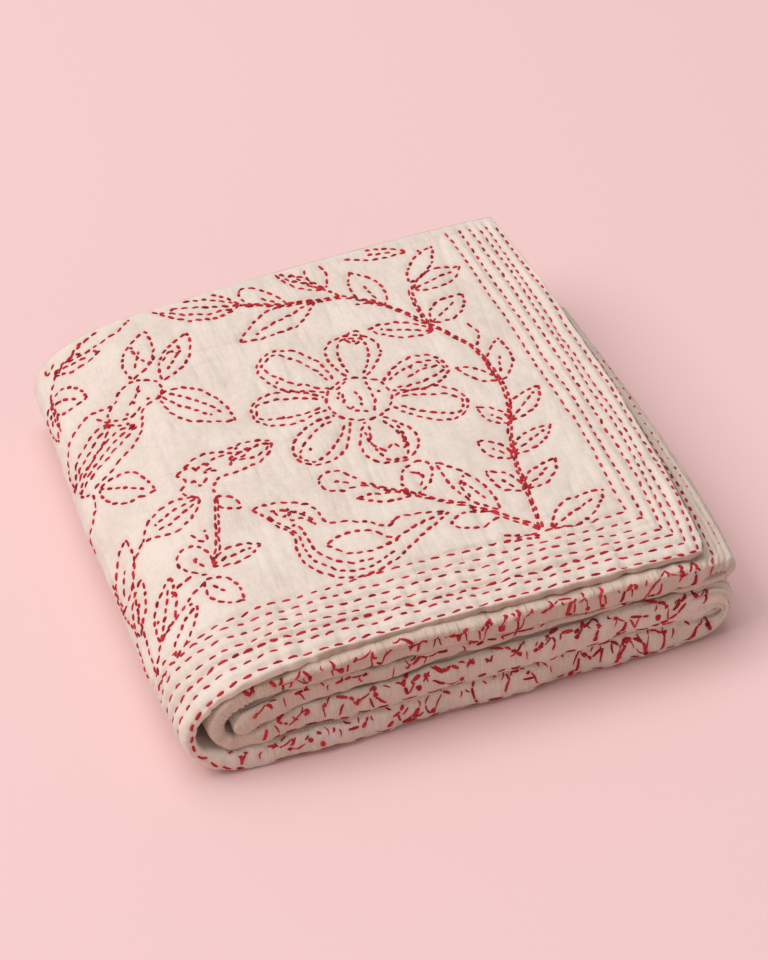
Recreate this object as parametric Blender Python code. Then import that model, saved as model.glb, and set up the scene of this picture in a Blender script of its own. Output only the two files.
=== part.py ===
"""Kantha quilt folded into a flat stack.

The quilt is one solid. It is doubled front to back, so that every layer of the
stack is two plies with a soft fold at the front, and it is then folded back
and forth across its width: top, left fold, base, right roll, lower, inner
fold, upper, upper roll and core. The ruled border channels of the top layer
are raised in the points of its face.
"""
import math
from collections import namedtuple

import bmesh
import bpy
import numpy as np

# Names
NODE_NAME = "quilt"
CLOTH_NAME = "quilted_cotton"
CLOTH_COLOUR = (0.82, 0.74, 0.65, 1.0)
CLOTH_ROUGHNESS = 0.92

# Cloth
SLOT = 0.0008            # air between the two plies of a layer
LAYER_GAP = 0.0010       # air between two layers of the stack
PLY_CHAMFER = 0.0016     # rounding of a ply's back hem
PLY_STAGGER = 0.0030     # how far the inner ply stops short at the back
HEM_STAGGER = 0.0016     # how far the under ply shows past the right hem

# Deformation of the whole stack
RIGHT_BOW = 0.0115       # the right side swells outward
UNDER_REACH = 0.0022     # the layers under the top reach further at the front
UNDER_SLANT = 0.041      # and draw in towards the back
LEFT_INSET = 0.0056      # the left fold draws in at the front
LEFT_BELLY = 0.0026      # and swells out behind the middle
DEPTH = 0.369            # front to back of the top layer
FLOOR_SNAP = 0.0003      # the underside is flat where it lies on the floor

# Border channels, counted inward from the rim
FRONT_PITCH = 0.0093
FRONT_CHANNELS = 6
SIDE_PITCH = 0.0076
FIRST_LINE = 0.0016
CHANNEL_CREST = 0.0009
CHANNEL_VALLEY = 0.0007
DEEP_LINE = 2            # this line lies in a crease of the front border
DEEP_EXTRA = 0.0012
RIB_PITCH = 0.0072       # ribs along the right end of the upper layer
RIB_REACH = 0.0288
RIB_RISE = 0.0008
WAVER = 0.0009           # unevenness of the front folds
WAVER_LENGTH = 0.105

# Heights of the tops of the stacked layers, and the top layer's thickness
Section = namedtuple("Section", "x base lower core upper top thick")
SECTIONS = (
    Section(0.038, 0.0186, 0.0330, 0.0490, 0.0620, 0.0765, 0.0116),
    Section(0.070, 0.0202, 0.0402, 0.0596, 0.0712, 0.0846, 0.0106),
    Section(0.095, 0.0216, 0.0450, 0.0622, 0.0748, 0.0868, 0.0098),
    Section(0.136, 0.0246, 0.0484, 0.0642, 0.0776, 0.0876, 0.0087),
    Section(0.190, 0.0266, 0.0510, 0.0638, 0.0790, 0.0878, 0.0080),
    Section(0.250, 0.0272, 0.0532, 0.0620, 0.0788, 0.0876, 0.0078),
    Section(0.316, 0.0280, 0.0546, 0.0602, 0.0780, 0.0872, 0.0074),
    Section(0.348, 0.0262, 0.0538, 0.0604, 0.0762, 0.0862, 0.0064),
    Section(0.362, 0.0232, 0.0518, 0.0600, 0.0738, 0.0850, 0.0056),
    Section(0.376, 0.0196, 0.0496, 0.0592, 0.0694, 0.0830, 0.0054),
)

# Pieces of the path in order. A layer runs level from start to end; a fold
# turns round its tip. Front and back are the y of its two edges at its start,
# middle and end, and round_in is how deep its front edge is rounded.
Layer = namedtuple("Layer", "name level start end front back round_in rows")
Fold = namedtuple("Fold", "name tip_x tip_z tip_thick front back round_in rows")
PATH = (
    Layer("top", "top", 0.360, 0.095, (0.000, 0.000, -0.002), (0.374, 0.367, 0.355), 0.0034, 9),
    Fold("left_fold", 0.0042, 0.0360, 0.0082, (-0.003, -0.003, -0.008), (0.354, 0.356, 0.354), 0.0060, 12),
    Layer("base", "base", 0.044, 0.362, (-0.010, -0.008, -0.004), (0.350, 0.352, 0.330), 0.0075, 8),
    Fold("right_roll", 0.3795, 0.0236, 0.0095, (-0.004, -0.003, -0.004), (0.310, 0.290, 0.300), 0.0080, 9),
    Layer("lower", "lower", 0.362, 0.038, (-0.006, -0.011, -0.005), (0.320, 0.360, 0.350), 0.0078, 8),
    Fold("inner_fold", 0.0230, 0.0430, 0.0118, (-0.004, -0.004, -0.005), (0.350, 0.348, 0.350), 0.0060, 8),
    Layer("upper", "upper", 0.070, 0.374, (-0.006, -0.009, -0.006), (0.350, 0.362, 0.300), 0.0070, 8),
    Fold("upper_roll", 0.3793, 0.0594, 0.0070, (-0.001, 0.000, -0.001), (0.280, 0.268, 0.275), 0.0045, 6),
    Layer("core", "core", 0.374, 0.033, (-0.002, -0.006, -0.006), (0.290, 0.358, 0.346), 0.0050, 9),
)

DENSE_STEP = 0.0006      # spacing of the smoothed path
SMOOTH_SPAN = 0.0045     # length over which the path is smoothed
HEM_ROUND = 0.0030       # rounding of the right hem of the top layer
CORE_ROUND = 0.0075      # rounding of the inner end of the core
ARC_STEPS = 6            # steps round the front fold of a layer
COARSE_FACE = 8          # steps of the plain part of a face
BACK_STEPS = 5           # steps of the hidden face
SLOT_STEPS = 3           # steps of each wall of the slot


def hermite(table, column, x):
    """Return a smooth value of one column of a table at a position x."""
    xs = np.array([row.x for row in table])
    ys = np.array([getattr(row, column) for row in table])
    slopes = np.gradient(ys, xs)
    i = int(np.clip(np.searchsorted(xs, x) - 1, 0, len(xs) - 2))
    span = xs[i + 1] - xs[i]
    t = float(np.clip((x - xs[i]) / span, 0.0, 1.0))
    return ((2 * t ** 3 - 3 * t ** 2 + 1) * ys[i]
            + (t ** 3 - 2 * t ** 2 + t) * span * slopes[i]
            + (-2 * t ** 3 + 3 * t ** 2) * ys[i + 1]
            + (t ** 3 - t ** 2) * span * slopes[i + 1])


def layer_limits(level, x):
    """Return the under side and the upper side of a layer at a position x."""
    order = ("base", "lower", "core", "upper", "top")
    upper = hermite(SECTIONS, level, x)
    if level == "top":
        return upper - hermite(SECTIONS, "thick", x), upper
    if level == "base":
        return 0.0, upper
    below = hermite(SECTIONS, order[order.index(level) - 1], x)
    return below + LAYER_GAP, upper


def layer_samples(piece):
    """Return rows of x, z, thickness, front, back and rounding along a layer."""
    count = int(abs(piece.end - piece.start) / DENSE_STEP)
    rows = []
    for i in range(count):
        t = i / count
        x = piece.start + (piece.end - piece.start) * t
        low, high = layer_limits(piece.level, x)
        rows.append((x, (low + high) / 2, high - low, *edge_values(piece, t)))
    return rows


def edge_values(piece, t):
    """Return the front, the back and the rounding of a piece at a share t."""
    weights = (2 * (t - 0.5) * (t - 1), 4 * t * (1 - t), 2 * t * (t - 0.5))
    front = sum(weight * value for weight, value in zip(weights, piece.front))
    back = sum(weight * value for weight, value in zip(weights, piece.back))
    return front, back, piece.round_in


def fold_samples(piece, before, after):
    """Return rows round a fold between two layers, as two quarter ovals."""
    rows = []
    quarters = ((before, 0.0, 0.5), (after, 0.5, 1.0))
    for end, first, last in quarters:
        reach = end[0] - piece.tip_x
        rise = end[1] - piece.tip_z
        length = math.hypot(reach, rise) * 1.15
        count = max(8, int(length / DENSE_STEP))
        for i in range(count):
            t = i / count
            turn = t if first == 0.0 else 1.0 - t
            angle = turn * math.pi / 2
            x = piece.tip_x + reach * (1.0 - math.sin(angle))
            z = piece.tip_z + rise * math.cos(angle)
            keep = math.cos(angle) ** 2
            thick = piece.tip_thick + (end[2] - piece.tip_thick) * keep
            rows.append((x, z, thick, *edge_values(piece, first + (last - first) * t)))
    return rows


def smooth_rows(rows):
    """Return the dense rows evenly respaced along the path and smoothed."""
    data = np.array(rows)
    steps = np.hypot(np.diff(data[:, 0]), np.diff(data[:, 1]))
    length = np.concatenate(([0.0], np.cumsum(steps)))
    even = np.arange(0.0, length[-1], DENSE_STEP)
    data = np.stack([np.interp(even, length, column) for column in data.T], 1)
    half = int(SMOOTH_SPAN / DENSE_STEP)
    kernel = np.hanning(2 * half + 3)[1:-1]
    kernel /= kernel.sum()
    edge_half = 6 * half
    edge_kernel = np.hanning(2 * edge_half + 3)[1:-1]
    edge_kernel /= edge_kernel.sum()
    result = data.copy()
    for column in range(data.shape[1]):
        width, weights = (half, kernel) if column < 3 else (edge_half, edge_kernel)
        line = data[:, column]
        before = 2 * line[0] - line[width:0:-1]
        after = 2 * line[-1] - line[-2:-width - 2:-1]
        result[:, column] = np.convolve(np.concatenate((before, line, after)), weights, "valid")
    return even, result


def build_path():
    """Return the path's lengths, rows and the length at which pieces begin."""
    dense = {piece.name: layer_samples(piece) for piece in PATH if isinstance(piece, Layer)}
    rows = []
    marks = []
    for i, piece in enumerate(PATH):
        marks.append(len(rows))
        if isinstance(piece, Layer):
            rows += dense[piece.name]
        else:
            rows += fold_samples(piece, dense[PATH[i - 1].name][-1], dense[PATH[i + 1].name][0])
    raw = np.array(rows)
    steps = np.hypot(np.diff(raw[:, 0]), np.diff(raw[:, 1]))
    length = np.concatenate(([0.0], np.cumsum(steps)))
    starts = [length[mark] for mark in marks] + [length[-1]]
    even, smooth = smooth_rows(rows)
    return even, smooth, starts


def row_lengths(starts, total):
    """Return the lengths along the path at which the mesh has a row."""
    lengths = [0.0, HEM_ROUND * 0.12, HEM_ROUND * 0.45, HEM_ROUND]
    for channel in range(FRONT_CHANNELS):
        for share in (0.5, 0.82, 1.18):
            lengths.append(FIRST_LINE + (channel + share) * SIDE_PITCH)
    for i, piece in enumerate(PATH):
        first = max(starts[i], lengths[-1])
        last = min(starts[i + 1], total - CORE_ROUND)
        ribs = 2 * round(RIB_REACH / RIB_PITCH) if piece.name == "upper" else 0
        plain_end = last - ribs * RIB_PITCH / 2
        for step in range(1, piece.rows + 1):
            lengths.append(first + (plain_end - first) * step / piece.rows)
        for step in range(1, ribs + 1):
            lengths.append(plain_end + (last - plain_end) * step / ribs)
    for share in (0.5, 0.8, 0.95, 1.0):
        lengths.append(total - CORE_ROUND * (1.0 - share))
    return lengths


def end_scale(length, total):
    """Return how far a layer keeps its thickness near the ends of the path."""
    scale = 1.0
    for distance, radius, least in ((length, HEM_ROUND, 0.42), (total - length, CORE_ROUND, 0.22)):
        if distance < radius:
            share = 1.0 - distance / radius
            scale = least + (1.0 - least) * math.sqrt(max(0.0, 1.0 - share ** 2))
    return scale


def channel_relief(front_distance, side_distance):
    """Return the height of the mitred border channels over the plain face."""
    front = (front_distance - FIRST_LINE) / FRONT_PITCH
    side = (side_distance - FIRST_LINE) / SIDE_PITCH
    place = min(front, side)
    if place < 0.0 or place >= FRONT_CHANNELS + 0.5:
        return 0.0
    if place > FRONT_CHANNELS:
        return -CHANNEL_VALLEY * math.cos((place - FRONT_CHANNELS) * math.pi)
    relief = (CHANNEL_CREST + CHANNEL_VALLEY) * math.sin(place * math.pi) ** 2 - CHANNEL_VALLEY
    mitre = min(1.0, max(0.0, side - front - 0.5))
    return relief - mitre * DEEP_EXTRA * max(0.0, 1.0 - abs(front - DEEP_LINE) * 2.2)


def window(length, first, last, ramp):
    """Return 1 between two lengths, falling to 0 over a ramp outside them."""
    rise = (length - first) / ramp + 1.0
    fall = (last - length) / ramp + 1.0
    return min(1.0, max(0.0, rise), max(0.0, fall))


def swell(x, y):
    """Return the gentle unevenness of the top face."""
    return (0.0005 * math.sin(x * 31.0 + y * 11.0)
            + 0.0004 * math.sin(y * 43.0 - x * 17.0 + 1.3))


def face_positions(front, back, round_in):
    """Return the y of the face columns from the back hem to the front."""
    start = front + round_in
    near = [start]
    for channel in range(FRONT_CHANNELS):
        for share in (0.32, 0.68, 1.0):
            near.append(start - PATH[0].round_in + FIRST_LINE + (channel + share) * FRONT_PITCH)
    far = back - PLY_CHAMFER
    steps = [near[-1] + (far - near[-1]) * i / COARSE_FACE for i in range(1, COARSE_FACE + 1)]
    return list(reversed(near + steps))


def loop_profile(thick, front, back, round_in):
    """Return y, offset and face weight of the loop round the two plies."""
    middle = (thick + SLOT) / 4
    half = (thick - SLOT) / 4
    outer = thick / 2
    points = [(back, middle - 0.4 * half, 0.0), (back, middle + 0.4 * half, 0.0)]
    points += [(y, outer, 1.0) for y in face_positions(front, back, round_in)]
    for step in range(1, ARC_STEPS):
        angle = math.pi / 2 - math.pi * step / ARC_STEPS
        reach = math.copysign(abs(math.sin(angle)) ** 0.72, math.sin(angle))
        depth = abs(math.cos(angle)) ** 0.85
        points.append((front + round_in * (1.0 - depth), outer * reach, 0.0))
    inner_back = back - PLY_STAGGER
    first, last = front + round_in, inner_back - PLY_CHAMFER
    points += [(first + (last - first) * i / BACK_STEPS, -outer, -1.0) for i in range(BACK_STEPS + 1)]
    points += [(inner_back, -(middle + 0.4 * half), 0.0), (inner_back, -(middle - 0.4 * half), 0.0)]
    slot_front = front + round_in + 0.003
    points += [(last + (slot_front - last) * i / SLOT_STEPS, -SLOT / 2, 0.0)
               for i in range(SLOT_STEPS + 1)]
    points.append((slot_front - 0.0008, 0.0, 0.0))
    last = back - PLY_CHAMFER
    points += [(slot_front + (last - slot_front) * i / SLOT_STEPS, SLOT / 2, 0.0)
               for i in range(SLOT_STEPS + 1)]
    return points


def bend_stack(x, y, z, under):
    """Return a point after the swell and the slant of the stack's two sides."""
    across = min(max(x / 0.37, 0.0), 1.0)
    along = min(max(y / DEPTH, 0.0), 1.0)
    reach = RIGHT_BOW * math.sin(math.pi * along ** 0.75) ** 0.7
    if under:
        reach += UNDER_REACH - UNDER_SLANT * along * DEPTH
    inset = LEFT_INSET * min(1.15, max(0.0, 1.0 - y / 0.085)) ** 2
    inset -= LEFT_BELLY * math.exp(-((y - 0.222) / 0.045) ** 2)
    x += reach * across ** 3 + inset * min(1.0, max(0.0, 1.0 - x / 0.13)) ** 2
    return x, y, z if z > FLOOR_SNAP else 0.0


def face_bump(length, starts, place):
    """Return how far a point of the face or of the back is raised."""
    y, rim, back, face, x = place
    names = [piece.name for piece in PATH]
    roll = names.index("right_roll")
    upper = names.index("upper")
    if face < 0.0:
        ribbed = window(length, starts[upper + 1] - RIB_REACH, starts[upper + 1], 0.006)
        wave = math.sin((length - starts[upper + 1]) / RIB_PITCH * math.pi) ** 2
        return ribbed * RIB_RISE * (wave - 0.5)
    edge = min(1.0, max(0.0, (back - y) / 0.01))
    shown = window(length, 0.0, starts[2] - 0.03, 0.03)
    rolled = window(length, starts[roll] + 0.008, starts[roll + 1] - 0.008, 0.02)
    bump = channel_relief(y - rim, length) + swell(x, y)
    return edge * (shown * bump + rolled * channel_relief(y - rim, 1.0))


def quilt_rows():
    """Return the mesh rows of the quilt, each a closed loop of points."""
    even, smooth, starts = build_path()
    total = float(even[-1])
    tangent = np.gradient(smooth[:, :2], axis=0)
    tangent /= np.linalg.norm(tangent, axis=1)[:, None]
    rows = []
    for length in row_lengths(starts, total):
        x, z, thick, front, back, round_in = (float(np.interp(length, even, column))
                                              for column in smooth.T)
        along = [float(np.interp(length, even, column)) for column in tangent.T]
        scale = math.hypot(*along)
        normal = (along[1] / scale, -along[0] / scale)
        thick = max(thick * end_scale(length, total), SLOT * 2.2)
        hem = max(0.0, 1.0 - length / 0.02)
        stacked = 1.0 - window(length, 0.0, starts[2] - 0.03, 0.03)
        front += stacked * WAVER * math.sin(length / WAVER_LENGTH * 2 * math.pi)
        rim = front + round_in - PATH[0].round_in
        row = []
        for y, offset, face in loop_profile(thick, front, back, round_in):
            if face != 0.0:
                offset += face * face_bump(length, starts, (y, rim, back, face, x))
            px = x + normal[0] * offset
            pz = z + normal[1] * offset
            if offset < 0.0:
                px += HEM_STAGGER * hem
            row.append(bend_stack(px, y, pz, length > starts[2]))
        rows.append(row)
    return rows


def centre_rows(rows):
    """Return the rows moved so that the middle of their floor is the origin."""
    points = np.array(rows)
    low = points.reshape(-1, 3).min(0)
    high = points.reshape(-1, 3).max(0)
    shift = np.array([(low[0] + high[0]) / 2, (low[1] + high[1]) / 2, low[2]])
    return points - shift


def make_material():
    """Return the quilt's cloth material."""
    material = bpy.data.materials.new(CLOTH_NAME)
    material.use_nodes = True
    shader = material.node_tree.nodes["Principled BSDF"]
    shader.inputs["Base Color"].default_value = CLOTH_COLOUR
    shader.inputs["Roughness"].default_value = CLOTH_ROUGHNESS
    return material


def make_quilt():
    """Build the quilt's closed mesh and its object."""
    rows = centre_rows(quilt_rows())
    shell = bmesh.new()
    grid = [[shell.verts.new(point) for point in row] for row in rows]
    width = len(grid[0])
    for here, there in zip(grid, grid[1:]):
        for i in range(width):
            j = (i + 1) % width
            shell.faces.new((here[i], here[j], there[j], there[i]))
    shell.faces.new(list(reversed(grid[0])))
    shell.faces.new(grid[-1])
    bmesh.ops.triangulate(shell, faces=shell.faces[:], quad_method="ALTERNATE", ngon_method="EAR_CLIP")
    bmesh.ops.recalc_face_normals(shell, faces=shell.faces[:])
    mesh = bpy.data.meshes.new(NODE_NAME)
    shell.to_mesh(mesh)
    shell.free()
    mesh.materials.append(make_material())
    quilt = bpy.data.objects.new(NODE_NAME, mesh)
    bpy.context.scene.collection.objects.link(quilt)
    return quilt


def main():
    """Clear the scene and build the quilt."""
    for item in list(bpy.data.objects):
        bpy.data.objects.remove(item)
    make_quilt()


main()
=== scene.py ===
"""Kantha quilt laid in folds as a flat stack: its quilted cloth and its red running stitch."""
import logging
import math
from dataclasses import dataclass, field
from enum import Enum
from typing import ClassVar

import bmesh
import bpy
import numpy as np
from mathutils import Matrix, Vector
from mathutils.kdtree import KDTree


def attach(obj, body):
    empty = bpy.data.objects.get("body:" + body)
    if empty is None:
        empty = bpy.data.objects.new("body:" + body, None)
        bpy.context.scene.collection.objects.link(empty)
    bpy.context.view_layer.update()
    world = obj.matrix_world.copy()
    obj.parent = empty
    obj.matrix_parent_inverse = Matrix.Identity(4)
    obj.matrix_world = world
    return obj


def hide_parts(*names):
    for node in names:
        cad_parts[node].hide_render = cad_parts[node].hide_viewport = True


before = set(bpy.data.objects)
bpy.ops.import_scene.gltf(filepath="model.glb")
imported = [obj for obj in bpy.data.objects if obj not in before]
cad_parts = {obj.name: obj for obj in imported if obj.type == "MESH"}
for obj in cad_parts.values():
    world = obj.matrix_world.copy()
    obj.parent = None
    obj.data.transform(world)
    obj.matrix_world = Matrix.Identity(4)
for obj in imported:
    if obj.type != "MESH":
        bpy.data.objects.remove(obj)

LOG = logging.getLogger("quilt")
MM = 0.001
TENTHS = 10000           # tenths of a millimetre in a metre
HEM_X = 0.360            # x of the top layer's right hem, before the stack is centred
CENTRE = np.array([0.19557770, 0.18117531, 0.0])        # middle of the stack
Points = np.ndarray
Place = tuple[float, float]
Triple = tuple[float, float, float]
Colour = Triple
Socket = bpy.types.NodeSocket


class Level(Enum):
    """The layers of the stack, from the floor up."""

    BASE = "base"
    LOWER = "lower"
    CORE = "core"
    UPPER = "upper"
    TOP = "top"


@dataclass(frozen=True)
class Section:
    """Heights of the tops of the layers at one place, and the top layer's thickness."""

    x: float
    base: float
    lower: float
    core: float
    upper: float
    top: float
    thick: float


@dataclass(frozen=True)
class Layer:
    """A level stretch of the cloth; front and back are y at its start, middle and end."""

    level: Level
    start: float
    end: float
    front: Triple
    back: Triple
    round_in: float


@dataclass(frozen=True)
class Fold:
    """A turn of the cloth round its tip, between two level stretches."""

    tip_x: float
    tip_z: float
    tip_thick: float
    front: Triple
    back: Triple
    round_in: float


SECTIONS = (
    Section(0.038, 0.0186, 0.0330, 0.0490, 0.0620, 0.0765, 0.0116),
    Section(0.070, 0.0202, 0.0402, 0.0596, 0.0712, 0.0846, 0.0106),
    Section(0.095, 0.0216, 0.0450, 0.0622, 0.0748, 0.0868, 0.0098),
    Section(0.136, 0.0246, 0.0484, 0.0642, 0.0776, 0.0876, 0.0087),
    Section(0.190, 0.0266, 0.0510, 0.0638, 0.0790, 0.0878, 0.0080),
    Section(0.250, 0.0272, 0.0532, 0.0620, 0.0788, 0.0876, 0.0078),
    Section(0.316, 0.0280, 0.0546, 0.0602, 0.0780, 0.0872, 0.0074),
    Section(0.348, 0.0262, 0.0538, 0.0604, 0.0762, 0.0862, 0.0064),
    Section(0.362, 0.0232, 0.0518, 0.0600, 0.0738, 0.0850, 0.0056),
    Section(0.376, 0.0196, 0.0496, 0.0592, 0.0694, 0.0830, 0.0054),
)

TOP, LEFT_FOLD, BASE, RIGHT_ROLL, LOWER, INNER_FOLD, UPPER, UPPER_ROLL, CORE = range(9)
LEGS = (
    Layer(Level.TOP, 0.360, 0.095, (0.000, 0.000, -0.002), (0.374, 0.367, 0.355), 0.0034),
    Fold(0.0042, 0.0360, 0.0082, (-0.003, -0.003, -0.008), (0.354, 0.356, 0.354), 0.0060),
    Layer(Level.BASE, 0.044, 0.362, (-0.010, -0.008, -0.004), (0.350, 0.352, 0.330), 0.0075),
    Fold(0.3795, 0.0236, 0.0095, (-0.004, -0.003, -0.004), (0.310, 0.290, 0.300), 0.0080),
    Layer(Level.LOWER, 0.362, 0.038, (-0.006, -0.011, -0.005), (0.320, 0.360, 0.350), 0.0078),
    Fold(0.0230, 0.0430, 0.0118, (-0.004, -0.004, -0.005), (0.350, 0.348, 0.350), 0.0060),
    Layer(Level.UPPER, 0.070, 0.374, (-0.006, -0.009, -0.006), (0.350, 0.362, 0.300), 0.0070),
    Fold(0.3793, 0.0594, 0.0070, (-0.001, 0.000, -0.001), (0.280, 0.268, 0.275), 0.0045),
    Layer(Level.CORE, 0.374, 0.033, (-0.002, -0.006, -0.006), (0.290, 0.358, 0.346), 0.0050),
)


def unit(value: Points) -> Points:
    """Hold values between 0 and 1."""
    return np.clip(value, 0.0, 1.0)


def bell(value: Points, width: float) -> Points:
    """Return a smooth bump round 0, 1 at its top."""
    return np.exp(-(value / width) ** 2)


def window(value: Points, first: float, last: float, ramp: float) -> Points:
    """Fade values in and out of a range.

    Args:
        value: The values to weigh.
        first: Start of the range.
        last: End of the range.
        ramp: Length of the fade outside the range.

    Returns:
        1 inside the range, falling to 0 over the ramp outside it.
    """
    return unit(np.minimum((value - first) / ramp + 1.0, (last - value) / ramp + 1.0))


@dataclass(frozen=True)
class Stretch:
    """A part of the route between two places, each a leg and a length past its start."""

    first: int
    past_first: float
    last: int
    past_last: float
    ramp: float = 0.0

    def ends(self, starts: list[float]) -> Place:
        """Return the lengths between which it lies, from where the legs start."""
        return starts[self.first] + self.past_first, starts[self.last] + self.past_last

    def share(self, starts: list[float], s: Points) -> Points:
        """Return 1 at the lengths inside it, falling to 0 over the ramp outside it."""
        return window(s, *self.ends(starts), self.ramp)


def show(name: str, data: bpy.types.ID) -> bpy.types.Object:
    """Put an object with the given data into the scene."""
    thing = bpy.data.objects.new(name, data)
    bpy.context.scene.collection.objects.link(thing)
    return thing


def note(mesh: bpy.types.Mesh, name: str, values: Points) -> None:
    """Give each point of a mesh a named value."""
    layer = mesh.attributes.new(name, "FLOAT", "POINT")
    layer.data.foreach_set("value", values.astype(np.float32))


def lay_out(mesh: bpy.types.Mesh, name: str, flat: Points) -> None:
    """Give a mesh a flat layout from the flat place of each point."""
    layer = mesh.uv_layers.new(name=name)
    corners = np.zeros(len(mesh.loops), dtype=int)
    mesh.loops.foreach_get("vertex_index", corners)
    layer.data.foreach_set("uv", flat.astype(np.float32)[corners].ravel())


class Crinkle:
    """A smooth seeded unevenness over the plane."""

    SIZE = 64

    def __init__(self, seed: int) -> None:
        """Draw the lattice of one unevenness from its seed."""
        self.lattice = np.random.default_rng(seed).uniform(-1.0, 1.0, (self.SIZE, self.SIZE))

    def at(self, a: Points, b: Points) -> Points:
        """Read the unevenness.

        Args:
            a: First coordinates, one unit to a bump.
            b: Second coordinates.

        Returns:
            Values between -1 and 1.
        """
        a, b = np.broadcast_arrays(a, b)
        ia, ib = np.floor(a).astype(int), np.floor(b).astype(int)
        fa, fb = a - ia, b - ib
        fa, fb = fa * fa * (3.0 - 2.0 * fa), fb * fb * (3.0 - 2.0 * fb)
        here, beyond = ia % self.SIZE, (ia + 1) % self.SIZE
        low, high = (self.lattice[here, row % self.SIZE] * (1 - fa)
                     + self.lattice[beyond, row % self.SIZE] * fa for row in (ib, ib + 1))
        return low * (1 - fb) + high * fb


@dataclass
class PathRows:
    """The cloth's cross-section at a set of lengths along its route."""

    x: Points
    z: Points
    thick: Points
    front: Points
    back: Points
    round_in: Points
    normal_x: Points
    normal_z: Points

    @property
    def face(self) -> Points:
        """Depth at which the level face begins, behind the front fold."""
        return self.front + self.round_in

    @property
    def arc(self) -> Points:
        """Girth of the front fold."""
        return math.pi * np.sqrt(((self.thick / 2) ** 2 + self.round_in ** 2) / 2)


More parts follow.
